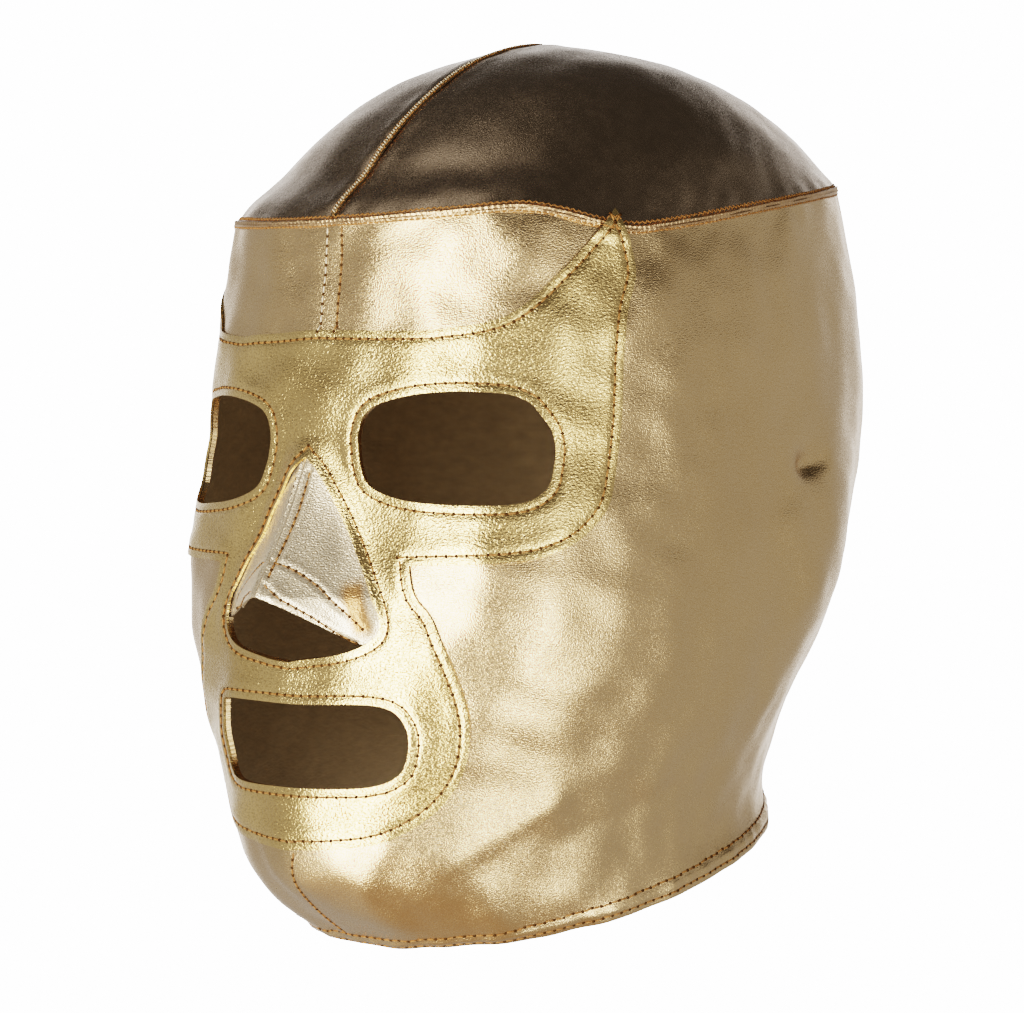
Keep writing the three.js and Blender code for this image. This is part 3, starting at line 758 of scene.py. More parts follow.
FOLD_COLUMNS = ("start across", "start drop", "end across", "end drop", "width", "rise")
FOLDS = np.array([
    [34.0, 214.0, 62.0, 196.0, 3.0, 0.5],
    [40.0, 206.0, 84.0, 186.0, 4.5, 0.45],
    [14.0, 222.0, 24.0, 206.0, 2.6, 0.4],
    [-6.0, 222.0, -10.0, 208.0, 2.4, 0.35],
    [96.0, 186.0, 120.0, 172.0, 5.0, 0.45],
    [60.0, 208.0, 100.0, 196.0, 3.0, -0.35],
    [44.0, 138.0, 70.0, 142.0, 3.5, 0.3],
    [140.0, 180.0, 158.0, 150.0, 5.0, 0.4],
    [-60.0, 196.0, -34.0, 214.0, 3.0, 0.45],
    [-96.0, 186.0, -70.0, 198.0, 4.5, 0.4],
    [-150.0, 170.0, -130.0, 186.0, 5.0, 0.4],
    [145.0, 114.0, 157.0, 111.5, 1.9, -1.2],
    [140.0, 126.0, 152.0, 148.0, 8.0, 1.1],
])


WAVE_COLUMNS = ("direction", "wavelength", "phase", "rise")
WAVES = np.array([
    [20.0, 17.0, 0.3, 0.16],
    [75.0, 23.0, 1.7, 0.18],
    [130.0, 13.0, 2.9, 0.08],
    [160.0, 31.0, 0.8, 0.2],
    [95.0, 11.0, 4.1, 0.06],
])


def slack_relief(flat: Array) -> Array:
    """Lets the stretched cloth run slightly uneven, so that the foil mirrors the room in patches.

    Args:
        flat: Points as across and drop, in millimetres.

    Returns:
        The height of the unevenness, in millimetres.
    """
    total = np.zeros(len(flat))
    for direction, wavelength, phase, rise in WAVES:
        turn = math.radians(direction)
        place = flat[:, 0] * math.cos(turn) + flat[:, 1] * math.sin(turn)
        aside = flat[:, 1] * math.cos(turn) - flat[:, 0] * math.sin(turn)
        swing = 1.1 * np.sin(aside / wavelength * 2.3 + phase * 2)
        total += rise * np.sin(2 * math.pi * place / wavelength + phase + swing)
    return total


def fold_relief(flat: Array) -> Array:
    """Raises the loose folds of the face's cloth.

    Args:
        flat: Points as across and drop, in millimetres.

    Returns:
        The height of the folds, in millimetres.
    """
    total = np.zeros(len(flat))
    for start_x, start_y, end_x, end_y, width, rise in FOLDS:
        start, end = np.array([start_x, start_y]), np.array([end_x, end_y])
        arm = end - start
        share = ((flat - start) @ arm) / (arm @ arm)
        nearest = start + np.clip(share, 0, 1)[:, None] * arm
        distance = np.linalg.norm(flat - nearest, axis=1)
        fade = smooth((share + 0.35) / 0.5) * smooth((1.35 - share) / 0.5)
        total += rise * np.exp(-((distance / width) ** 2)) * fade
    return total


class Nodes:
    """Small helper that adds and links shader nodes in one tree."""

    def __init__(self, tree: bpy.types.NodeTree) -> None:
        """Keeps the tree and empties it."""
        self.tree = tree
        tree.nodes.clear()

    def add(self, kind: str, **inputs: object) -> bpy.types.Node:
        """Adds a node and sets or links its inputs.

        Args:
            kind: Blender's name for the node.
            inputs: Values or sockets by input name, with _ for a space; Blender's own node
                settings are given in lower case.

        Returns:
            The node.
        """
        node = self.tree.nodes.new(kind)
        for name, value in inputs.items():
            if name[0].islower():
                setattr(node, name, value)
            else:
                self.feed(node.inputs[name.replace("_", " ")], value)
        return node

    def feed(self, socket: bpy.types.NodeSocket, value: object) -> None:
        """Links a socket to an input, or sets the input's own value."""
        if isinstance(value, bpy.types.NodeSocket):
            self.tree.links.new(value, socket)
        else:
            socket.default_value = value

    def math(self, operation: str, first: object, second: object = 0.0) -> bpy.types.NodeSocket:
        """Adds a Math node and gives its result."""
        node = self.add("ShaderNodeMath", operation=operation)
        self.feed(node.inputs[0], first)
        self.feed(node.inputs[1], second)
        return node.outputs[0]

    def blend(self, share: object, first: object, second: object) -> bpy.types.NodeSocket:
        """Adds a colour mix and gives its result."""
        node = self.add("ShaderNodeMix", data_type="RGBA")
        self.feed(node.inputs["Factor"], share)
        self.feed(node.inputs[6], first)
        self.feed(node.inputs[7], second)
        return node.outputs[2]

    def ramp(self, value: object, low: float, high: float, start: float = 0.0,
             end: float = 1.0) -> bpy.types.NodeSocket:
        """Maps a value from one range to another, held inside it."""
        node = self.add("ShaderNodeMapRange", clamp=True)
        self.feed(node.inputs["Value"], value)
        for name, number in (("From Min", low), ("From Max", high), ("To Min", start), ("To Max", end)):
            node.inputs[name].default_value = number
        return node.outputs["Result"]


def new_group(name: str, inputs: dict[str, float], outputs: list[str]) -> tuple[bpy.types.NodeTree, Nodes,
                                                                                bpy.types.Node]:
    """Starts a shader node group with named sockets.

    Args:
        name: The group's name.
        inputs: Number inputs with their usual values; a Vector input is always added first.
        outputs: The names of the number outputs.

    Returns:
        The group, its node helper and its input node.
    """
    group = bpy.data.node_groups.new(name, "ShaderNodeTree")
    group.interface.new_socket("Vector", in_out="INPUT", socket_type="NodeSocketVector")
    for label, value in inputs.items():
        socket = group.interface.new_socket(label, in_out="INPUT", socket_type="NodeSocketFloat")
        socket.default_value = value
    for label in outputs:
        group.interface.new_socket(label, in_out="OUTPUT", socket_type="NodeSocketFloat")
    nodes = Nodes(group)
    return group, nodes, nodes.add("NodeGroupInput")


class Effects:
    """The shader node groups that several finishes share."""

    def __init__(self) -> None:
        """Builds each group once."""
        self.weave = self.build_weave()
        self.ripple = self.build_ripple()
        self.cloud = self.build_cloud()

    def build_weave(self) -> bpy.types.NodeTree:
        """Builds fine crosswise ribs broken into short threads, with bright and dark flecks.

        Returns:
            The group, with Height, Fleck and Tone outputs.
        """
        group, nodes, start = new_group("fine_weave", {"Pitch": 0.0004, "Stretch": 2.4},
                                        ["Height", "Fleck", "Tone"])
        scale = nodes.math("DIVIDE", 1.0, start.outputs["Pitch"])
        stretched = nodes.add("ShaderNodeVectorMath", operation="MULTIPLY")
        nodes.feed(stretched.inputs[0], start.outputs["Vector"])
        ratio = nodes.math("DIVIDE", 1.0, start.outputs["Stretch"])
        factors = nodes.add("ShaderNodeCombineXYZ", X=ratio, Y=1.0, Z=1.0)
        nodes.feed(stretched.inputs[1], factors.outputs[0])
        threads = nodes.add("ShaderNodeTexNoise", Vector=stretched.outputs[0], Scale=scale, Detail=0.5,
                            Roughness=0.6)
        specks = nodes.add("ShaderNodeTexNoise", Vector=start.outputs["Vector"],
                           Scale=nodes.math("MULTIPLY", scale, 1.15), Detail=0.0)
        streaks = nodes.add("ShaderNodeTexNoise", Vector=stretched.outputs[0],
                            Scale=nodes.math("MULTIPLY", scale, 0.4), Detail=2.0, Roughness=0.6)
        end = nodes.add("NodeGroupOutput")
        nodes.feed(end.inputs["Height"], threads.outputs[0])
        nodes.feed(end.inputs["Fleck"], nodes.ramp(specks.outputs[0], 0.3, 0.7))
        nodes.feed(end.inputs["Tone"], nodes.ramp(streaks.outputs[0], 0.3, 0.7))
        return group

    def build_ripple(self) -> bpy.types.NodeTree:
        """Builds the crosswise ripples of crushed foil, with finer wrinkles between them.

        Returns:
            The group, with Height and Crease outputs.
        """
        group, nodes, start = new_group("foil_ripple", {"Pitch": 0.001, "Stretch": 1.35},
                                        ["Height", "Crease"])
        scale = nodes.math("DIVIDE", 1.0, start.outputs["Pitch"])
        ratio = nodes.math("DIVIDE", 1.0, start.outputs["Stretch"])
        factors = nodes.add("ShaderNodeCombineXYZ", X=ratio, Y=1.0, Z=1.0)
        stretched = nodes.add("ShaderNodeVectorMath", operation="MULTIPLY")
        nodes.feed(stretched.inputs[0], start.outputs["Vector"])
        nodes.feed(stretched.inputs[1], factors.outputs[0])
        broad = nodes.add("ShaderNodeTexNoise", Vector=stretched.outputs[0], Scale=scale, Detail=1.5,
                          Roughness=0.55, Distortion=0.6)
        fine = nodes.add("ShaderNodeTexNoise", Vector=stretched.outputs[0],
                         Scale=nodes.math("MULTIPLY", scale, 2.3), Detail=0.0)
        height = nodes.math("ADD", nodes.math("MULTIPLY", nodes.ramp(broad.outputs[0], 0.25, 0.75), 0.72),
                            nodes.math("MULTIPLY", fine.outputs[0], 0.28))
        end = nodes.add("NodeGroupOutput")
        nodes.feed(end.inputs["Height"], height)
        nodes.feed(end.inputs["Crease"], nodes.ramp(height, 0.28, 0.52, 1.0, 0.0))
        return group

    def build_cloud(self) -> bpy.types.NodeTree:
        """Builds slow changes over the surface, for handling marks and uneven foil.

        Returns:
            The group, with Slow and Fast outputs.
        """
        group, nodes, start = new_group("soft_cloud", {"Size": 0.03}, ["Slow", "Fast"])
        scale = nodes.math("DIVIDE", 1.0, start.outputs["Size"])
        slow = nodes.add("ShaderNodeTexNoise", Vector=start.outputs["Vector"], Scale=scale, Detail=2.0,
                         Roughness=0.5)
        fast = nodes.add("ShaderNodeTexNoise", Vector=start.outputs["Vector"],
                         Scale=nodes.math("MULTIPLY", scale, 9.0), Detail=3.0, Roughness=0.6)
        end = nodes.add("NodeGroupOutput")
        nodes.feed(end.inputs["Slow"], nodes.ramp(slow.outputs[0], 0.3, 0.7))
        nodes.feed(end.inputs["Fast"], nodes.ramp(fast.outputs[0], 0.3, 0.7))
        return group

    def use(self, nodes: Nodes, group: bpy.types.NodeTree, **inputs: object) -> bpy.types.Node:
        """Places a group in a material with its own values.

        Args:
            nodes: The material's node helper.
            group: The group.
            inputs: Values or sockets by input name.

        Returns:
            The group's node.
        """
        node = nodes.tree.nodes.new("ShaderNodeGroup")
        node.node_tree = group
        for name, value in inputs.items():
            nodes.feed(node.inputs[name], value)
        return node


Colour = tuple[float, float, float]


def rgba(colour: Colour) -> tuple[float, float, float, float]:
    """Adds full opacity to a colour."""
    return (*colour, 1.0)


def new_material(name: str) -> tuple[bpy.types.Material, Nodes]:
    """Starts an empty node material.

    Args:
        name: The material's name.

    Returns:
        The material and its node helper.
    """
    material = bpy.data.materials.new(name)
    material.use_nodes = True
    return material, Nodes(material.node_tree)


@dataclass(frozen=True)
class MetallicCloth:
    """Stretch cloth with a foil face: fine crosswise ribs, bright flecks and a soft sheen."""

    name: str
    colour: Colour
    pale: Colour
    deep: Colour
    roughness: float = 0.22
    pitch: float = 0.0004
    rib: float = 0.6
    metallic: float = 1.0
    fleck: float = 0.5
    has_painted_fold_shade: bool = False

    def material(self, effects: Effects) -> bpy.types.Material:
        """Builds the finish as a material.

        Args:
            effects: The shared node groups.

        Returns:
            The material.
        """
        material, nodes = new_material(self.name)
        uv = nodes.add("ShaderNodeUVMap", uv_map="UVMap").outputs[0]
        spot = nodes.add("ShaderNodeTexCoord").outputs["Object"]
        weave = effects.use(nodes, effects.weave, Vector=uv, Pitch=self.pitch)
        cloud = effects.use(nodes, effects.cloud, Vector=spot, Size=0.035)
        tone = nodes.blend(nodes.math("MULTIPLY", cloud.outputs["Slow"], 0.5), rgba(self.colour),
                           rgba(self.deep))
        tone = nodes.blend(nodes.math("MULTIPLY", weave.outputs["Tone"], 0.35), tone, rgba(self.pale))
        dark = nodes.blend(self.fleck, tone, rgba(self.deep))
        light = nodes.blend(self.fleck, tone, rgba(self.pale))
        tone = nodes.blend(weave.outputs["Fleck"], dark, light)
        # Painted shade: a warm dark patch beside the nose cover's loose fold stands in for its shadow and a
        # warm reflection.
        if self.has_painted_fold_shade:
            tone = nodes.blend(self.painted_fold_shade(nodes, uv), tone, (0.3, 0.13, 0.03, 1))
        rough = nodes.math("ADD", self.roughness - 0.05, nodes.math("MULTIPLY", cloud.outputs["Fast"], 0.06))
        rough = nodes.math("ADD", rough, nodes.math("MULTIPLY", weave.outputs["Height"], 0.1))
        speckle = nodes.math("MULTIPLY", weave.outputs["Fleck"], 0.5)
        height = nodes.math("ADD", weave.outputs["Height"], speckle)
        relief = nodes.add("ShaderNodeBump", Strength=self.rib, Distance=0.00016, Height=height)
        shader = nodes.add("ShaderNodeBsdfPrincipled", Base_Color=tone, Roughness=rough,
                           Metallic=self.metallic, Normal=relief.outputs[0])
        nodes.add("ShaderNodeOutputMaterial", Surface=shader.outputs[0])
        return material

    def painted_fold_shade(self, nodes: Nodes, uv: bpy.types.NodeSocket) -> bpy.types.NodeSocket:
        """Marks the painted shade beside a loose fold of the nose cover: a warm dark patch that stands in
        for its shadow and a warm reflection.

        Args:
            nodes: The material's node helper.
            uv: The cloth's flat places.

        Returns:
            The share of the painted fold shade at each place.
        """
        top, low = to_flat(FORM.locate([(15.9, 141.5), (19.6, 156.0)]))
        arm = low - top
        length = float(np.hypot(*arm))
        shifted = nodes.add("ShaderNodeMapping", vector_type="TEXTURE", Vector=uv)
        shifted.inputs["Location"].default_value = (float(top[0]), float(top[1]), 0)
        shifted.inputs["Rotation"].default_value = (0, 0, math.atan2(arm[1], arm[0]))
        parts = nodes.add("ShaderNodeSeparateXYZ", Vector=shifted.outputs[0])
        aside = nodes.math("ABSOLUTE", parts.outputs[1])
        ahead = nodes.math("ABSOLUTE", nodes.math("SUBTRACT", parts.outputs[0], length / 2))
        return nodes.math("MULTIPLY", nodes.ramp(aside, 0.0013, 0.0029, 0.9, 0.0),
                          nodes.ramp(ahead, length * 0.34, length * 0.56, 1.0, 0.0))


@dataclass(frozen=True)
class FoilLeather:
    """Thin leather with a crushed gold foil face, its creases darkened as painted shade."""

    name: str
    colour: Colour
    deep: Colour
    roughness: float = 0.15
    grain: float = 0.7
    pitch: float = 0.0005

    def material(self, effects: Effects) -> bpy.types.Material:
        """Builds the finish as a material.

        Args:
            effects: The shared node groups.

        Returns:
            The material.
        """
        material, nodes = new_material(self.name)
        uv = nodes.add("ShaderNodeUVMap", uv_map="UVMap").outputs[0]
        spot = nodes.add("ShaderNodeTexCoord").outputs["Object"]
        grain = effects.use(nodes, effects.ripple, Vector=uv, Pitch=self.pitch)
        weave = effects.use(nodes, effects.weave, Vector=uv, Pitch=0.00045)
        cloud = effects.use(nodes, effects.cloud, Vector=spot, Size=0.022)
        tone = nodes.blend(nodes.math("MULTIPLY", cloud.outputs["Slow"], 0.4), rgba(self.colour),
                           rgba(self.deep))
        # Painted shade: the tone darkens towards the deep colour in the grain's creases.
        tone = nodes.blend(nodes.math("MULTIPLY", grain.outputs["Crease"], 0.6), tone, rgba(self.deep))
        tone = nodes.blend(nodes.math("MULTIPLY", weave.outputs["Fleck"], 0.2), tone, rgba(self.deep))
        rough = nodes.math("ADD", self.roughness - 0.03, nodes.math("MULTIPLY", cloud.outputs["Fast"], 0.05))
        rough = nodes.math("ADD", rough, nodes.math("MULTIPLY", grain.outputs["Crease"], 0.08))
        strength = nodes.math("ADD", nodes.math("MULTIPLY", cloud.outputs["Slow"], 0.4), 0.6)
        height = nodes.math("MULTIPLY", grain.outputs["Height"], strength)
        height = nodes.math("ADD", height, nodes.math("MULTIPLY", weave.outputs["Height"], 0.12))
        relief = nodes.add("ShaderNodeBump", Strength=self.grain, Distance=0.00024, Height=height)
        shader = nodes.add("ShaderNodeBsdfPrincipled", Base_Color=tone, Roughness=rough, Metallic=0.95,
                           Normal=relief.outputs[0])
        nodes.add("ShaderNodeOutputMaterial", Surface=shader.outputs[0])
        return material


@dataclass(frozen=True)
class Thread:
    """Twisted sewing thread."""

    name: str
    colour: Colour
    dark: Colour
    roughness: float = 0.6
    shine: float = 0.15

    def material(self, effects: Effects) -> bpy.types.Material:
        """Builds the finish as a material.

        Args:
            effects: The shared node groups.

        Returns:
            The material.
        """
        material, nodes = new_material(self.name)
        spot = nodes.add("ShaderNodeTexCoord").outputs["Object"]
        cloud = effects.use(nodes, effects.cloud, Vector=spot, Size=0.004)
        twist = nodes.add("ShaderNodeTexNoise", Vector=spot, Scale=5000.0, Detail=0.0)
        tone = nodes.blend(cloud.outputs["Fast"], rgba(self.colour), rgba(self.dark))
        rough = nodes.math("ADD", self.roughness - 0.1, nodes.math("MULTIPLY", cloud.outputs["Slow"], 0.2))
        relief = nodes.add("ShaderNodeBump", Strength=0.4, Distance=0.0001, Height=twist.outputs[0])
        shader = nodes.add("ShaderNodeBsdfPrincipled", Base_Color=tone, Roughness=rough,
                           Normal=relief.outputs[0])
        shader.inputs["Specular IOR Level"].default_value = self.shine
        nodes.add("ShaderNodeOutputMaterial", Surface=shader.outputs[0])
        return material


@dataclass(frozen=True)
class Lining:
    """Matt knitted cloth on the inside, with a faint painted glow that lifts it out of its shade."""

    name: str
    colour: Colour
    dark: Colour
    pitch: float = 0.0009
    painted_glow: float = 0.12

    def material(self, effects: Effects) -> bpy.types.Material:
        """Builds the finish as a material.

        Args:
            effects: The shared node groups.

        Returns:
            The material.
        """
        material, nodes = new_material(self.name)
        uv = nodes.add("ShaderNodeUVMap", uv_map="UVMap").outputs[0]
        knit = effects.use(nodes, effects.weave, Vector=uv, Pitch=self.pitch)
        tone = nodes.blend(knit.outputs["Tone"], rgba(self.colour), rgba(self.dark))
        rough = nodes.math("ADD", 0.78, nodes.math("MULTIPLY", knit.outputs["Height"], 0.15))
        relief = nodes.add("ShaderNodeBump", Strength=0.5, Distance=0.0003, Height=knit.outputs["Height"])
        shader = nodes.add("ShaderNodeBsdfPrincipled", Base_Color=tone, Roughness=rough,
                           Normal=relief.outputs[0], Emission_Color=tone)
        # Painted light: the lining glows faintly in its own tone though it is no lamp, so the openings read
        # a flat brown.
        shader.inputs["Emission Strength"].default_value = self.painted_glow
        nodes.add("ShaderNodeOutputMaterial", Surface=shader.outputs[0])
        return material


class Wardrobe:
    """Every finish of the mask, each made once."""

    def __init__(self) -> None:
        """Builds the materials."""
        effects = Effects()
        self.side = MetallicCloth("golden_beige_foil_cloth", (0.63, 0.4, 0.18), (0.72, 0.52, 0.3),
                                  (0.44, 0.26, 0.1), pitch=0.00034, rib=0.45).material(effects)
        self.nose = MetallicCloth("silvery_foil_cloth", (0.72, 0.56, 0.34), (0.86, 0.72, 0.52),
                                  (0.28, 0.18, 0.08), roughness=0.32, metallic=0.82,
                                  has_painted_fold_shade=True).material(effects)
        # Painted shade: the crown's foil cloth is a darker copy of the side cloth, for the dark ceiling it
        # mirrors, on top of the dark ceiling light itself.
        self.crown = MetallicCloth("crown_foil_cloth_painted_shade", (0.46, 0.32, 0.2), (0.6, 0.45, 0.32),
                                   (0.26, 0.17, 0.09), roughness=0.24, pitch=0.0003,
                                   rib=0.3).material(effects)
        self.overlay = FoilLeather("gold_foil_leather", (0.75, 0.51, 0.21),
                                   (0.34, 0.2, 0.06)).material(effects)
        self.welt = MetallicCloth("folded_copper_cloth", (0.5, 0.29, 0.13), (0.7, 0.48, 0.27),
                                  (0.26, 0.12, 0.04), roughness=0.32).material(effects)
        self.thread = Thread("orange_brown_thread", (0.27, 0.115, 0.028),
                             (0.13, 0.05, 0.012)).material(effects)
        self.pale_thread = Thread("pale_gold_thread", (0.62, 0.52, 0.36),
                                  (0.3, 0.22, 0.12)).material(effects)
        # Painted shade: the needle holes are near-black discs that stand in for the shade inside each hole.
        self.hole = Thread("needle_hole_painted_shade", (0.045, 0.02, 0.005), (0.03, 0.012, 0.003), roughness=0.9,
                           shine=0.02).material(effects)
        self.lining = Lining("brown_lining", (0.19, 0.122, 0.056), (0.16, 0.104, 0.048)).material(effects)


def finish_piece(piece: bpy.types.Object, nodes: tuple[str, ...] = ()) -> bpy.types.Object:
    """Seats a finished piece in the frame and reports it.

    Args:
        piece: The piece.
        nodes: The CAD nodes that it stands for.

    Returns:
        The piece.
    """
    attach(piece, "root")
    if nodes:
        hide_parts(*nodes)
    piece.data.calc_loop_triangles()
    LOG.info("%s: %d triangles", piece.name, len(piece.data.loop_triangles))
    return piece


@dataclass
class CrownPanels:
    """The two halves of the crown, each cut as half of a round blank."""

    wall: float = 1.2
    cell: float = 1.7
    seam_gap: float = 0.3
    seam_groove: float = 0.35

    def laid(self, flat: Array) -> Array:
        """Lays points of the round blank on the crown."""
        reach = np.hypot(flat[:, 0], flat[:, 1])
        level = np.minimum(reach / FORM.row_height, SEAM_ROW - 1e-6)
        angle = np.degrees(np.arctan2(flat[:, 0], flat[:, 1]))
        spots = FORM.point(level, angle)
        beside = np.abs(spots[:, 0])
        to_seam = SEAM_ROW * FORM.row_height - reach
        along = np.radians(angle) * FORM.wrap_radius
        puckers = 0.14 * np.sin(along / 2.1 + 1.3 * np.sin(along / 9.0)) * bump(to_seam, 3.2, 2.6)
        relief = puckers - self.seam_groove * bump(beside, 0, 0.9) + 0.25 * bump(beside, 3.6, 1.8)
        relief += 0.1 * np.sin(reach / 1.7) * bump(beside, 3.4, 2.2) + 0.4 * slack_relief(flat)
        return FORM.place(level, angle, relief)

    def build(self, side: int, name: str, wardrobe: Wardrobe) -> bpy.types.Object:
        """Makes one half of the crown.

        Args:
            side: 1 for the wearer's left, -1 for the right.
            name: The piece's name.
            wardrobe: The finishes.

        Returns:
            The panel.
        """
        radius = SEAM_ROW * FORM.row_height - self.seam_gap / 2
        low, high = sorted((side * self.seam_gap / 2, side * (radius + 2)))
        piece = cloth_blank(name, (low, -radius - 2), (high, radius + 2), self.cell)
        turn = np.linspace(0, 2 * math.pi, 360, endpoint=False)
        cut_blank(piece, np.stack([np.cos(turn), np.sin(turn)], -1) * radius * MM, Keep.INSIDE)
        lay_on_form(piece, self.laid)
        piece.data.materials.append(wardrobe.crown)
        piece.data.materials.append(wardrobe.lining)
        thicken(piece, self.wall)
        return piece

    def make(self, wardrobe: Wardrobe) -> list[bpy.types.Object]:
        """Makes both halves."""
        return [finish_piece(self.build(side, f"crown_cloth_{word}", wardrobe),
                             (f"crown_panel_{word}",)) for side, word in ((1, "left"), (-1, "right"))]


@dataclass
class FaceCloth:
    """Shared shaping of the cloth below the crown seam."""

    seam_line: float = 2.4

    def relief(self, level: Array, angle: Array) -> Array:
        """Shapes seams and folds of the face's cloth.

        Args:
            level: Levels between the rows.
            angle: Degrees from the front.

        Returns:
            Heights over the plain form, in millimetres.
        """
        spots = FORM.point(level, angle)
        pattern = FORM.pattern(level, angle)
        behind = np.where(spots[:, 1] > 0, np.abs(spots[:, 0]), 99.0)
        to_seam = (level - SEAM_ROW) * FORM.row_height
        along = np.radians(angle) * FORM.wrap_radius
        puckers = 0.12 * np.sin(along / 2.3 + 1.1 * np.sin(along / 8.0)) * bump(to_seam, 3.4, 2.6)
        nape = (-0.2 * bump(behind, 0, 0.9) + 0.1 * bump(behind, 1.25, 0.6)
                - 0.2 * bump(behind, self.seam_line, 0.5) + 0.15 * bump(behind, 4.2, 1.3))
        calm = 1 - 0.45 * smooth((np.abs(angle) - 60) / 30)
        folds = fold_relief(pattern) + slack_relief(pattern) * calm
        for line in PATTERN.plain_rows():
            distance, _ = SeamTrack.on_outline(line, closed=False).measure(spots)
            folds -= 0.06 * bump(distance, 0, 0.8)
        return puckers + nape + folds


@dataclass
class SidePanels(FaceCloth):
    """The two halves of the face and nape, joined at the front and back centre seams."""

    wall: float = 1.2
    cell: float = 1.5
    seam_gap: float = 0.0
    hem_height: float = 5.5
    hem_blend_row: float = 10.0

    def laid(self, flat: Array) -> Array:
        """Lays points of the blank on the face, with its lowest rows drawn up to the hem."""
        angle = np.degrees(flat[:, 0] / FORM.wrap_radius)
        row = -flat[:, 1] / FORM.row_height
        end = FORM.level_above_edge(angle, self.hem_height)
        share = np.clip((row - self.hem_blend_row) / (LAST_ROW - self.hem_blend_row), 0, 1)
        drawn = self.hem_blend_row + share * (end - self.hem_blend_row)
        level = np.where(row > self.hem_blend_row, drawn, row)
        level = np.maximum(level, SEAM_ROW)
        return FORM.place(level, angle, self.relief(level, angle))

    def build(self, side: int, name: str, wardrobe: Wardrobe) -> bpy.types.Object:
        """Makes one side panel.

        Args:
            side: 1 for the wearer's left, -1 for the right.
            name: The piece's name.
            wardrobe: The finishes.

        Returns:
            The panel.
        """
        half_turn = math.pi * FORM.wrap_radius
        low, high = sorted((side * self.seam_gap / 2, side * (half_turn - self.seam_gap / 2)))
        top = -(SEAM_ROW * FORM.row_height + self.seam_gap / 2)
        piece = cloth_blank(name, (low, -LAST_ROW * FORM.row_height), (high, top), self.cell)
        for hole in [*PATTERN.openings(), PATTERN.nose_cover()]:
            located = FORM.locate(grown(hole, 0.4))
            cut_blank(piece, to_flat(located), Keep.OUTSIDE)
        lay_on_form(piece, self.laid)
        piece.data.materials.append(wardrobe.side)
        piece.data.materials.append(wardrobe.lining)
        thicken(piece, self.wall)
        return piece

    def make(self, wardrobe: Wardrobe) -> list[bpy.types.Object]:
        """Makes both panels."""
        return [finish_piece(self.build(side, f"side_cloth_{word}", wardrobe),
                             (f"side_panel_{word}",)) for side, word in ((1, "left"), (-1, "right"))]


@dataclass
class NoseCover:
    """The two halves of the nose cover, hemmed along their free edge."""

    wall: float = 0.8
    cell: float = 0.5
    seam_gap: float = 0.1

    def relief(self, level: Array, angle: Array) -> Array:
        """Shapes the ridge seam, the hem and the loose pleat of the nose cover.

        Args:
            level: Levels between the rows.
            angle: Degrees from the front.

        Returns:
            Heights over the plain form, in millimetres.
        """
        spots = FORM.point(level, angle)
        pattern = FORM.pattern(level, angle)
        ridge = pattern[:, 0] + 0.4
        relief = 0.35 * bump(ridge, 0.0, 0.8) - 0.3 * bump(ridge, 1.9, 0.4) + 0.1 * bump(ridge, 3.2, 0.9)
        relief += (0.3 * bump(ridge, -1.2, 0.4) - 0.4 * bump(ridge, -0.55, 0.25)
                   - 0.3 * bump(ridge, -3.0, 0.5))
        for side in (1, -1):
            edge = SeamTrack.on_outline(PATTERN.free_edge_line(side), closed=False)
            distance, _ = edge.measure(spots)
            relief += np.where(pattern[:, 0] * side > 0, -0.3 * bump(distance, 0, 0.5), 0)
        for line in PATTERN.nose_rows().values():
            distance, _ = SeamTrack.on_outline(line, closed=False).measure(spots)
            relief += 0.14 * bump(distance, 1.4, 0.7) - 0.24 * bump(distance, 0, 0.45)
        pleat = 0.9 * bump(pattern[:, 0], 18.6, 2.2) * bump(pattern[:, 1], 149.0, 6.5)
        hollow = -0.6 * bump(np.abs(pattern[:, 0]), 11.5, 2.6) * bump(pattern[:, 1], 131.0, 6.0)
        return relief + pleat + hollow

    def laid(self, flat: Array) -> Array:
        """Lays points of the blank on the nose."""
        level = -flat[:, 1] / FORM.row_height
        angle = np.degrees(flat[:, 0] / FORM.wrap_radius)
        return FORM.place(level, angle, self.relief(level, angle))

    def make(self, wardrobe: Wardrobe) -> list[bpy.types.Object]:
        """Makes both halves."""
        outline = to_flat(FORM.locate(PATTERN.nose_cover()))
        low, high = outline.min(0) / MM - 1, outline.max(0) / MM + 1
        made = []
        for side, word in ((1, "left"), (-1, "right")):
            left, right = sorted((side * self.seam_gap / 2, side * max(-low[0], high[0])))
            piece = cloth_blank(f"nose_cloth_{word}", (left, low[1]), (right, high[1]), self.cell)
            cut_blank(piece, outline, Keep.INSIDE)
            lay_on_form(piece, self.laid)
            piece.data.materials.append(wardrobe.nose)
            piece.data.materials.append(wardrobe.lining)
            thicken(piece, self.wall)
            made.append(finish_piece(piece, (f"nose_panel_{word}",)))
        return made


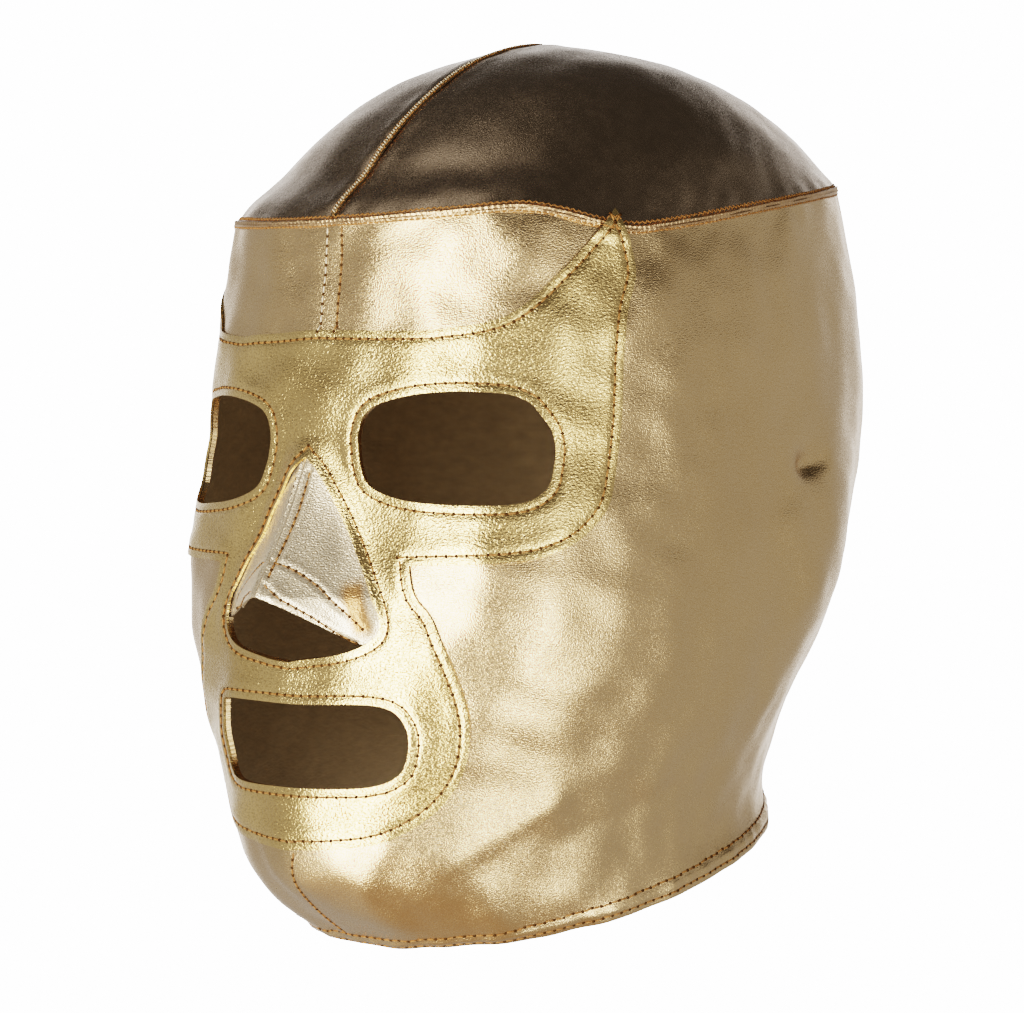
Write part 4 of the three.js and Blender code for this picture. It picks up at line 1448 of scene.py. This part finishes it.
@dataclass
class FaceOverlay(FaceCloth):
    """The gold surround of eyes, nose and mouth, with its turned and stitched edges."""

    lift: float = 0.78
    wall: float = 0.6
    cell: float = 0.64
    edge_line: float = 2.1
    welt_lift: float = 0.8
    welt_reach: float = 3.0

    def laid(self, flat: Array) -> Array:
        """Lays points of the blank over the side panels and the crown seam."""
        level = -flat[:, 1] / FORM.row_height
        angle = np.degrees(flat[:, 0] / FORM.wrap_radius)
        spots = FORM.point(level, angle)
        relief = fold_relief(FORM.pattern(level, angle)) + slack_relief(FORM.pattern(level, angle))
        for outline in [PATTERN.overlay(), *PATTERN.openings()]:
            distance, along = SeamTrack.on_outline(outline).measure(spots)
            relief += edge_relief(distance, along, self.edge_line)
        off_seam = np.abs(level - SEAM_ROW) * FORM.row_height
        relief += self.welt_lift * smooth(2 - off_seam / self.welt_reach)
        return FORM.place(level, angle, self.lift + relief)

    def make(self, wardrobe: Wardrobe) -> list[bpy.types.Object]:
        """Makes the surround."""
        outline = to_flat(FORM.locate(PATTERN.overlay()))
        low, high = outline.min(0) / MM - 1, outline.max(0) / MM + 1
        piece = cloth_blank("gold_surround", (low[0], low[1]), (high[0], high[1]), self.cell)
        cut_blank(piece, outline, Keep.INSIDE)
        for hole in PATTERN.openings():
            cut_blank(piece, to_flat(FORM.locate(hole)), Keep.OUTSIDE)
        lay_on_form(piece, self.laid)
        piece.data.materials.append(wardrobe.overlay)
        piece.data.materials.append(wardrobe.lining)
        thicken(piece, self.wall)
        return [finish_piece(piece, ("face_overlay",))]


@dataclass
class SeamWelts:
    """The raised bands over the crown seam and over the middle of the crown."""

    height: float = 2.9
    rise: float = 0.75
    cell: float = 0.5
    crown_width: float = 2.3
    crown_rise: float = 0.6

    def forehead_laid(self, flat: Array) -> Array:
        """Lays the strip along the crown seam as two rolled ridges."""
        angle = np.degrees(flat[:, 0] / FORM.wrap_radius)
        across = flat[:, 1]
        level = SEAM_ROW - across / FORM.row_height
        wander = 0.12 * np.sin(flat[:, 0] / 3.1 + 1.2 * np.sin(flat[:, 0] / 11.0))
        ridges = bump(across, 0.35 + wander, 0.45) + 0.7 * bump(across, -0.55, 0.35)
        grooves = 0.12 * bump(across, 1.05, 0.3)
        edge = 1 - smooth((np.abs(across) - self.height * 0.36) / (self.height * 0.14))
        twist = 0.07 * np.sin(flat[:, 0] * 2 * math.pi / 1.5 + across * 1.4)
        return FORM.place(level, angle, 0.1 + (self.rise * ridges - grooves + twist) * edge)

    def crown_laid(self, flat: Array) -> Array:
        """Lays the strip over the middle of the crown as one rolled ridge."""
        along, across = flat[:, 1], flat[:, 0]
        level = np.clip(np.abs(along) / FORM.row_height, 0, SEAM_ROW)
        angle = np.where(along > 0, 0.0, 180.0)
        ridge = np.sqrt(np.clip(1 - (across / (self.crown_width / 2)) ** 2, 0, 1))
        twist = 0.16 * np.sin(along * 2 * math.pi / 1.9 + across * 2.2)
        spots = FORM.place(level, angle, 0.05 + ridge * (self.crown_rise + twist))
        spots[:, 0] = across * MM
        return spots

    def make(self, wardrobe: Wardrobe) -> list[bpy.types.Object]:
        """Makes both bands."""
        half_turn = math.pi * FORM.wrap_radius
        band = cloth_blank("crown_seam_welt", (-half_turn, -self.height / 2), (half_turn, self.height / 2),
                           self.cell * 0.6)
        lay_on_form(band, self.forehead_laid)
        band.data.materials.append(wardrobe.welt)
        thicken(band, 0.3)
        reach = SEAM_ROW * FORM.row_height - self.height * 0.45
        half_width = self.crown_width / 2
        ridge = cloth_blank("crown_middle_welt", (-half_width, -reach), (half_width, reach),
                            self.cell * 0.6)
        lay_on_form(ridge, self.crown_laid)
        ridge.data.materials.append(wardrobe.side)
        thicken(ridge, 0.3)
        return [finish_piece(band, ("forehead_welt",)),
                finish_piece(ridge, ("crown_welt",))]


@dataclass
class NeckHem(FaceCloth):
    """The turned edge round the neck, sewn down with two rows of stitches."""

    height: float = 5.5
    wall: float = 2.0
    cell: float = 0.8
    upper_line: float = 5.0
    lower_line: float = 1.5

    def laid(self, flat: Array) -> Array:
        """Lays the strip along the neck edge."""
        angle = np.degrees(flat[:, 0] / FORM.wrap_radius)
        above = flat[:, 1]
        top = FORM.level_above_edge(angle, self.height)
        level = LAST_ROW + (top - LAST_ROW) * above / self.height
        along = flat[:, 0]
        puff = 0.35 * bump(above, 3.2, 1.3) - 0.22 * bump(above, self.upper_line, 0.5)
        puff += -0.25 * bump(above, self.lower_line, 0.4) - 0.5 * bump(above, 0.0, 0.6)
        pucker = 0.16 * np.sin(along / 1.7 + 1.4 * np.sin(along / 6.3)) * bump(above, 3.2, 1.5)
        return FORM.place(level, angle, self.relief(level, angle) + puff + pucker)

    def make(self, wardrobe: Wardrobe) -> list[bpy.types.Object]:
        """Makes the hem."""
        half_turn = math.pi * FORM.wrap_radius
        piece = cloth_blank("neck_hem_cloth", (-half_turn, 0), (half_turn, self.height), self.cell)
        lay_on_form(piece, self.laid)
        piece.data.materials.append(wardrobe.side)
        piece.data.materials.append(wardrobe.lining)
        thicken(piece, self.wall)
        return [finish_piece(piece, ("neck_hem",))]


class StitchStyle(Enum):
    """How the stitches of a row lie to their line, in degrees, and whether every second one is mirrored."""

    STRAIGHT = (0.0, False)
    ZIGZAG = (38.0, True)
    SLANTED = (58.0, False)


class Ground:
    """The finished cloth that the stitches lie on."""

    def __init__(self, pieces: list[bpy.types.Object]) -> None:
        """Keeps one search tree a piece."""
        graph = bpy.context.evaluated_depsgraph_get()
        self.trees = [BVHTree.FromObject(piece, graph) for piece in pieces]

    def find(self, spot: Vector, normal: Vector) -> Vector:
        """Finds the outermost cloth over a place.

        Args:
            spot: The place on the plain form, in metres.
            normal: The outward direction there.

        Returns:
            The point on the cloth, or the place itself where there is none.
        """
        start = spot + normal * 0.008
        hits = [tree.ray_cast(start, -normal, 0.012) for tree in self.trees]
        reached = [hit for hit in hits if hit[0] is not None]
        return min(reached, key=lambda hit: hit[3])[0] if reached else spot


@dataclass
class StitchRow:
    """One row of sewing along a track, made of copies of one stitch."""

    name: str
    track: SeamTrack
    pitch: float = 2.6
    length: float = 2.1
    width: float = 0.52
    style: StitchStyle = StitchStyle.STRAIGHT
    holes: bool = True
    lift: float = 0.07

    def stitch(self, thread: bpy.types.Material, hole: bpy.types.Material) -> bpy.types.Object:
        """Models the one stitch that the row repeats.

        Args:
            thread: The thread's material.
            hole: The needle hole's material, a dark disc of painted shade.

        Returns:
            The stitch, along X and facing up Z.
        """
        bpy.ops.object.select_all(action="DESELECT")
        bpy.ops.mesh.primitive_uv_sphere_add(segments=6, ring_count=4, radius=1,
                                             rotation=(0, math.pi / 2, 0))
        piece = bpy.context.object
        piece.scale = (self.width / 2 * MM * 0.8, self.width / 2 * MM, self.length / 2 * MM)
        bpy.ops.object.transform_apply(location=True, rotation=True, scale=True)
        piece.data.materials.append(thread)
        # Painted shade: a dark disc under one end of the stitch stands in for the shade in its needle hole.
        if self.holes:
            bpy.ops.object.select_all(action="DESELECT")
            bpy.ops.mesh.primitive_cylinder_add(vertices=8, radius=0.42 * MM, depth=0.3 * MM,
                                                location=(self.pitch / 2 * MM, 0, -self.lift * MM),
                                                end_fill_type="TRIFAN")
            dot = bpy.context.object
            bpy.ops.object.transform_apply(location=True, rotation=True, scale=True)
            dot.data.materials.append(hole)
            piece.select_set(True)
            bpy.context.view_layer.objects.active = piece
            bpy.ops.object.join()
        bpy.ops.object.shade_smooth()
        return piece

    def places(self, ground: Ground) -> list[Matrix]:
        """Finds where each stitch lies on the cloth and how it is turned.

        Args:
            ground: The cloth.

        Returns:
            One matrix a stitch.
        """
        count = max(2, int(self.track.length / self.pitch))
        along = (np.arange(count) + 0.5) * self.track.length / count
        rows = [along + shift for shift in (0.0, -0.6, 0.6)]
        levels = [np.interp(row, self.track.along, self.track.levels) for row in rows]
        angles = [np.interp(row, self.track.along, self.track.angles) for row in rows]
        spots = FORM.place(levels[0], angles[0], 0.0)
        ways = FORM.point(levels[2], angles[2]) - FORM.point(levels[1], angles[1])
        ups = FORM.normal(levels[0], angles[0])
        found = []
        for index, (spot, way, up) in enumerate(zip(spots, ways, ups)):
            normal = Vector(up).normalized()
            degrees, mirrored_turns = self.style.value
            turn = math.radians(-degrees if mirrored_turns and index % 2 else degrees)
            forward = (Vector(way) - normal * Vector(way).dot(normal)).normalized()
            forward = Matrix.Rotation(turn, 3, normal) @ forward
            reach = forward * self.length * 0.36 * MM
            ends = [ground.find(Vector(spot) + reach * end, normal) for end in (-1, 1)]
            forward = (ends[1] - ends[0]).normalized()
            side = normal.cross(forward).normalized()
            basis = Matrix((forward, side, forward.cross(side))).transposed()
            middle = (ends[0] + ends[1]) / 2 + normal * self.lift * MM
            found.append(Matrix.Translation(middle) @ basis.to_4x4())
        return found

    def make(self, ground: Ground, thread: bpy.types.Material, hole: bpy.types.Material, slot: str) -> None:
        """Sews the row.

        Args:
            ground: The cloth.
            thread: The thread's material.
            hole: The needle hole's material, a dark disc of painted shade.
            slot: The record's material slot of the cloth it holds; not used.
        """
        first = self.stitch(thread, hole)
        copies = []
        for place in self.places(ground):
            copy = first.copy()
            copy.data = first.data.copy()
            copy.matrix_world = place
            bpy.context.scene.collection.objects.link(copy)
            copies.append(copy)
        bpy.data.objects.remove(first)
        bpy.ops.object.select_all(action="DESELECT")
        for copy in copies:
            copy.select_set(True)
        bpy.context.view_layer.objects.active = copies[0]
        bpy.ops.object.join()
        piece = bpy.context.object
        bpy.ops.object.transform_apply(location=True, rotation=True, scale=True)
        piece.name = piece.data.name = self.name
        finish_piece(piece)


@dataclass
class Stitching:
    """All the rows of sewing on the mask."""

    ground: Ground
    edge_line: float = 2.1

    def ring(self, level: Callable[[Array], Array] | float) -> SeamTrack:
        """Makes a track round the head.

        Args:
            level: The level of the track, or a function of the angle that gives it.

        Returns:
            The track.
        """
        angles = np.linspace(-180.0, 180.0, 361)
        levels = level(angles) if callable(level) else np.full_like(angles, level)
        return SeamTrack(levels, angles, closed=False)

    def upright(self, aside: float, start: float, end: float, back: bool = False) -> SeamTrack:
        """Makes a track that runs down beside the centre plane.

        Args:
            aside: Its distance from the centre plane, in millimetres.
            start: The level at which it starts.
            end: The level at which it ends.
            back: Whether it is at the back of the head.

        Returns:
            The track.
        """
        levels = np.linspace(start, end, 80)
        middle = FORM.point(levels, np.full_like(levels, 180.0 if back else 0.0))
        turn = np.degrees(np.arcsin(np.clip(aside / np.maximum(np.abs(middle[:, 1]), 8.0), -1, 1)))
        return SeamTrack(levels, 180.0 - turn if back else turn, closed=False)

    def make_overlay_rows(self, wardrobe: Wardrobe) -> None:
        """Sews the edges of the gold surround and its openings."""
        rows = {"outer_edge": grown(PATTERN.overlay(), -self.edge_line)}
        names = ("left_eye", "right_eye", "mouth", "nose_window")
        rows |= {name: grown(hole, self.edge_line) for name, hole in zip(names, PATTERN.openings())}
        for name, outline in rows.items():
            StitchRow(f"stitches_{name}", SeamTrack.on_outline(outline)).make(
                self.ground, wardrobe.thread, wardrobe.hole, "overlay_leather")

    def make_crown_rows(self, wardrobe: Wardrobe) -> None:
        """Sews the crown seam and the middle of the crown."""
        zigzag, slanted = StitchStyle.ZIGZAG, StitchStyle.SLANTED
        step = 1 / FORM.row_height
        rows = [
            StitchRow("stitches_crown_seam_upper", self.ring(SEAM_ROW - 1.5 * step), 0.8, 1.6, 0.4, zigzag,
                      False),
            StitchRow("stitches_crown_seam_lower", self.ring(SEAM_ROW + 1.15 * step), 1.7, 1.65, 0.5,
                      holes=False),
        ]
        for name, back in (("front", False), ("back", True)):
            rows += [StitchRow(f"stitches_crown_middle_{name}_{word}", self.upright(aside, 0.05, 3.9, back),
                               1.3, 1.1, 0.36, holes=False)
                     for word, aside in (("left", 0.85), ("right", -0.85))]
        for row in rows:
            row.make(self.ground, wardrobe.thread, wardrobe.hole, "crown_cloth")
        for name, back in (("front", False), ("back", True)):
            row = StitchRow(f"stitches_crown_middle_{name}", self.upright(0.0, 0.05, 3.9, back), 0.95, 1.35,
                            0.42, slanted, False, 0.14)
            row.make(self.ground, wardrobe.pale_thread, wardrobe.hole, "welt_cloth")

    def make_side_rows(self, wardrobe: Wardrobe) -> None:
        """Sews the forehead, the chin, the nape and the hem."""
        rows = [StitchRow(f"stitches_hem_{name}", self.ring(
            lambda angle, up=level: FORM.level_above_edge(angle, up))) for name, level in
            (("upper", 5.0), ("lower", 1.5))]
        rows += [StitchRow(f"stitches_nape_{name}", self.upright(aside, 4.1, 11.7, True))
                 for name, aside in (("left", 2.4), ("right", -2.4))]
        right, left, chin = (SeamTrack.on_outline(line, closed=False) for line in PATTERN.plain_rows())
        rows += [StitchRow("stitches_forehead_left", left, 2.4), StitchRow("stitches_chin", chin, 2.4)]
        for row in rows:
            row.make(self.ground, wardrobe.thread, wardrobe.hole, "side_cloth")
        StitchRow("stitches_forehead_right", right, 2.4).make(self.ground, wardrobe.pale_thread,
                                                              wardrobe.hole, "side_cloth")

    def make_nose_rows(self, wardrobe: Wardrobe) -> None:
        """Sews the ridge and the hem of the nose cover."""
        for name, line in PATTERN.nose_rows().items():
            thread = wardrobe.pale_thread if name == "ridge_right" else wardrobe.thread
            wide = 0.62 if name.startswith("ridge") else 0.42
            track = SeamTrack.on_outline(line, closed=False)
            row = StitchRow(f"stitches_nose_{name}", track, 2.1, 1.6, wide)
            row.make(self.ground, thread, wardrobe.hole, "side_cloth")

    def make(self, wardrobe: Wardrobe) -> None:
        """Sews every row."""
        self.make_overlay_rows(wardrobe)
        self.make_crown_rows(wardrobe)
        self.make_side_rows(wardrobe)
        self.make_nose_rows(wardrobe)


@dataclass(frozen=True)
class SoftBox:
    """One soft studio light."""

    name: str
    azimuth: float
    elevation: float
    distance: float
    width: float
    height: float
    power: float
    colour: Colour = (1.0, 1.0, 1.0)

    def hang(self, target: Vector) -> None:
        """Puts the light up, facing the mask."""
        turn, rise = math.radians(self.azimuth), math.radians(self.elevation)
        way = Vector((math.sin(turn) * math.cos(rise), -math.cos(turn) * math.cos(rise), math.sin(rise)))
        data = bpy.data.lights.new(self.name, "AREA")
        data.shape = "RECTANGLE"
        data.size, data.size_y = self.width, self.height
        data.energy = self.power
        data.color = self.colour
        lamp = bpy.data.objects.new(self.name, data)
        lamp.location = target + way * self.distance
        lamp.rotation_euler = way.to_track_quat("Z", "Y").to_euler()
        lamp.visible_camera = False
        bpy.context.scene.collection.objects.link(lamp)


@dataclass(frozen=True)
class GlowPatch:
    """One soft patch of the room that the foil mirrors, placed by its direction in degrees."""

    azimuth: float
    elevation: float
    half_width: float
    half_height: float
    edge: float
    strength: float

    def add(self, nodes: Nodes, turn: bpy.types.NodeSocket,
            rise: bpy.types.NodeSocket) -> bpy.types.NodeSocket:
        """Adds the patch to the room's shader.

        Args:
            nodes: The room's node helper.
            turn: The azimuth that is looked along, in radians.
            rise: The elevation that is looked along, in radians.

        Returns:
            The patch's brightness.
        """
        offset = nodes.math("SUBTRACT", turn, math.radians(self.azimuth))
        wrapped = nodes.add("ShaderNodeMath", operation="WRAP")
        for socket, value in zip(wrapped.inputs, (offset, -math.pi, math.pi)):
            nodes.feed(socket, value)
        aside = nodes.math("ABSOLUTE", wrapped.outputs[0])
        above = nodes.math("ABSOLUTE", nodes.math("SUBTRACT", rise, math.radians(self.elevation)))
        masks = [nodes.ramp(value, math.radians(half - self.edge), math.radians(half + self.edge), 1.0, 0.0)
                 for value, half in ((aside, self.half_width), (above, self.half_height))]
        return nodes.math("MULTIPLY", nodes.math("MULTIPLY", *masks), self.strength)


@dataclass
class Studio:
    """The camera, the pale floor and the soft lights."""

    azimuth: float = 40.0
    distance: float = 0.95
    eye_height: float = -0.1108
    axis_y: float = -0.005
    focal_px: float = 3515.0
    centre_px: Point = (534.0, 460.0)
    image_px: tuple[int, int] = (1024, 1013)
    floor_drop: float = -0.62
    room: float = 0.5
    ceiling: float = 0.06
    white: float = 12.0
    boxes: tuple[SoftBox, ...] = (
        SoftBox("front_box", 0.0, -14.0, 1.4, 0.8, 2.2, 10.0),
        SoftBox("right_box", 72.0, -12.0, 1.4, 0.6, 1.2, 4.0),
    )
    patches: tuple[GlowPatch, ...] = (
        GlowPatch(2.0, -14.0, 9.0, 36.0, 7.0, 20.0),
        GlowPatch(2.0, -14.0, 18.0, 38.0, 7.0, 1.9),
        GlowPatch(-10.0, -46.0, 20.0, 11.0, 6.0, 2.4),
        GlowPatch(66.0, -10.0, 17.0, 26.0, 7.0, 0.9),
        GlowPatch(68.0, -18.0, 6.0, 7.0, 6.0, 24.0),
        GlowPatch(84.0, -28.0, 7.0, 7.0, 7.0, 6.0),
        GlowPatch(-140.0, 5.0, 28.0, 20.0, 7.0, 1.5),
        GlowPatch(-65.0, -55.0, 30.0, 10.0, 6.0, 0.5),
        GlowPatch(-48.0, 62.0, 16.0, 12.0, 9.0, 1.6),
    )

    def place_camera(self) -> None:
        """Sets the camera at the photograph's viewing angle."""
        turn = math.radians(self.azimuth)
        data = bpy.data.cameras.new("camera")
        data.sensor_width = 36.0
        data.lens = self.focal_px / self.image_px[0] * data.sensor_width
        data.shift_x = (self.image_px[0] / 2 - self.centre_px[0]) / self.image_px[0]
        data.shift_y = (self.centre_px[1] - self.image_px[1] / 2) / self.image_px[0]
        camera = bpy.data.objects.new("camera", data)
        camera.location = (self.distance * math.sin(turn), self.axis_y - self.distance * math.cos(turn),
                           self.eye_height)
        camera.rotation_euler = (math.pi / 2, 0, turn)
        bpy.context.scene.collection.objects.link(camera)
        bpy.context.scene.camera = camera

    def lay_floor(self) -> None:
        """Lays the plain pale floor, which the mask doesn't mirror."""
        bpy.ops.object.select_all(action="DESELECT")
        bpy.ops.mesh.primitive_plane_add(size=24, location=(0, 0, self.floor_drop))
        floor = bpy.context.object
        floor.name = "floor"
        floor.visible_glossy = floor.visible_diffuse = floor.visible_shadow = False
        material, nodes = new_material("pale_floor")
        spot = nodes.add("ShaderNodeTexCoord").outputs["Object"]
        cloud = nodes.add("ShaderNodeTexNoise", Vector=spot, Scale=2.0, Detail=2.0)
        tone = nodes.blend(cloud.outputs[0], (0.93, 0.93, 0.93, 1), (0.97, 0.97, 0.97, 1))
        shader = nodes.add("ShaderNodeBsdfPrincipled", Base_Color=tone, Roughness=0.9, Emission_Color=tone)
        shader.inputs["Emission Strength"].default_value = self.white
        nodes.add("ShaderNodeOutputMaterial", Surface=shader.outputs[0])
        floor.data.materials.append(material)

    def light_world(self) -> None:
        """Lights the room from soft patches under a dark ceiling; the camera sees plain white."""
        world = bpy.data.worlds.new("studio")
        world.use_nodes = True
        nodes = Nodes(world.node_tree)
        way = nodes.add("ShaderNodeTexCoord").outputs["Generated"]
        parts = nodes.add("ShaderNodeSeparateXYZ", Vector=way).outputs
        turn = nodes.math("ARCTAN2", parts[0], nodes.math("MULTIPLY", parts[1], -1.0))
        rise = nodes.math("ARCSINE", parts[2])
        light = nodes.ramp(rise, math.radians(18), math.radians(28), self.room, self.ceiling)
        for patch in self.patches:
            light = nodes.math("ADD", light, patch.add(nodes, turn, rise))
        seen = nodes.add("ShaderNodeLightPath").outputs["Is Camera Ray"]
        low_end, high_end = math.radians(-72), math.radians(-42)
        warm = [nodes.math("MULTIPLY", light, nodes.ramp(rise, low_end, high_end, low, 1.0))
                for low in (0.74, 0.54)]
        grey = nodes.add("ShaderNodeCombineColor", Red=light, Green=warm[0], Blue=warm[1]).outputs[0]
        tone = nodes.blend(seen, grey, (self.white, self.white, self.white, 1))
        background = nodes.add("ShaderNodeBackground", Color=tone, Strength=1.0)
        nodes.add("ShaderNodeOutputWorld", Surface=background.outputs[0])
        bpy.context.scene.world = world

    def make(self) -> None:
        """Sets up camera, floor and lights."""
        self.place_camera()
        self.lay_floor()
        self.light_world()
        target = Vector((0, 0, self.eye_height))
        for box in self.boxes:
            box.hang(target)
        bpy.context.scene.view_settings.view_transform = "Filmic"
        bpy.context.scene.view_settings.look = "Medium High Contrast"


def main() -> None:
    """Builds the dressed mask and its studio in order."""
    logging.basicConfig(level=logging.INFO, format="%(name)s: %(message)s")
    Studio().make()
    wardrobe = Wardrobe()
    cloth: list[bpy.types.Object] = []
    for group in (CrownPanels(), SidePanels(), NoseCover(), FaceOverlay(), SeamWelts(), NeckHem()):
        cloth += group.make(wardrobe)
    Stitching(Ground(cloth)).make(wardrobe)


if __name__ == "__main__":
    main()
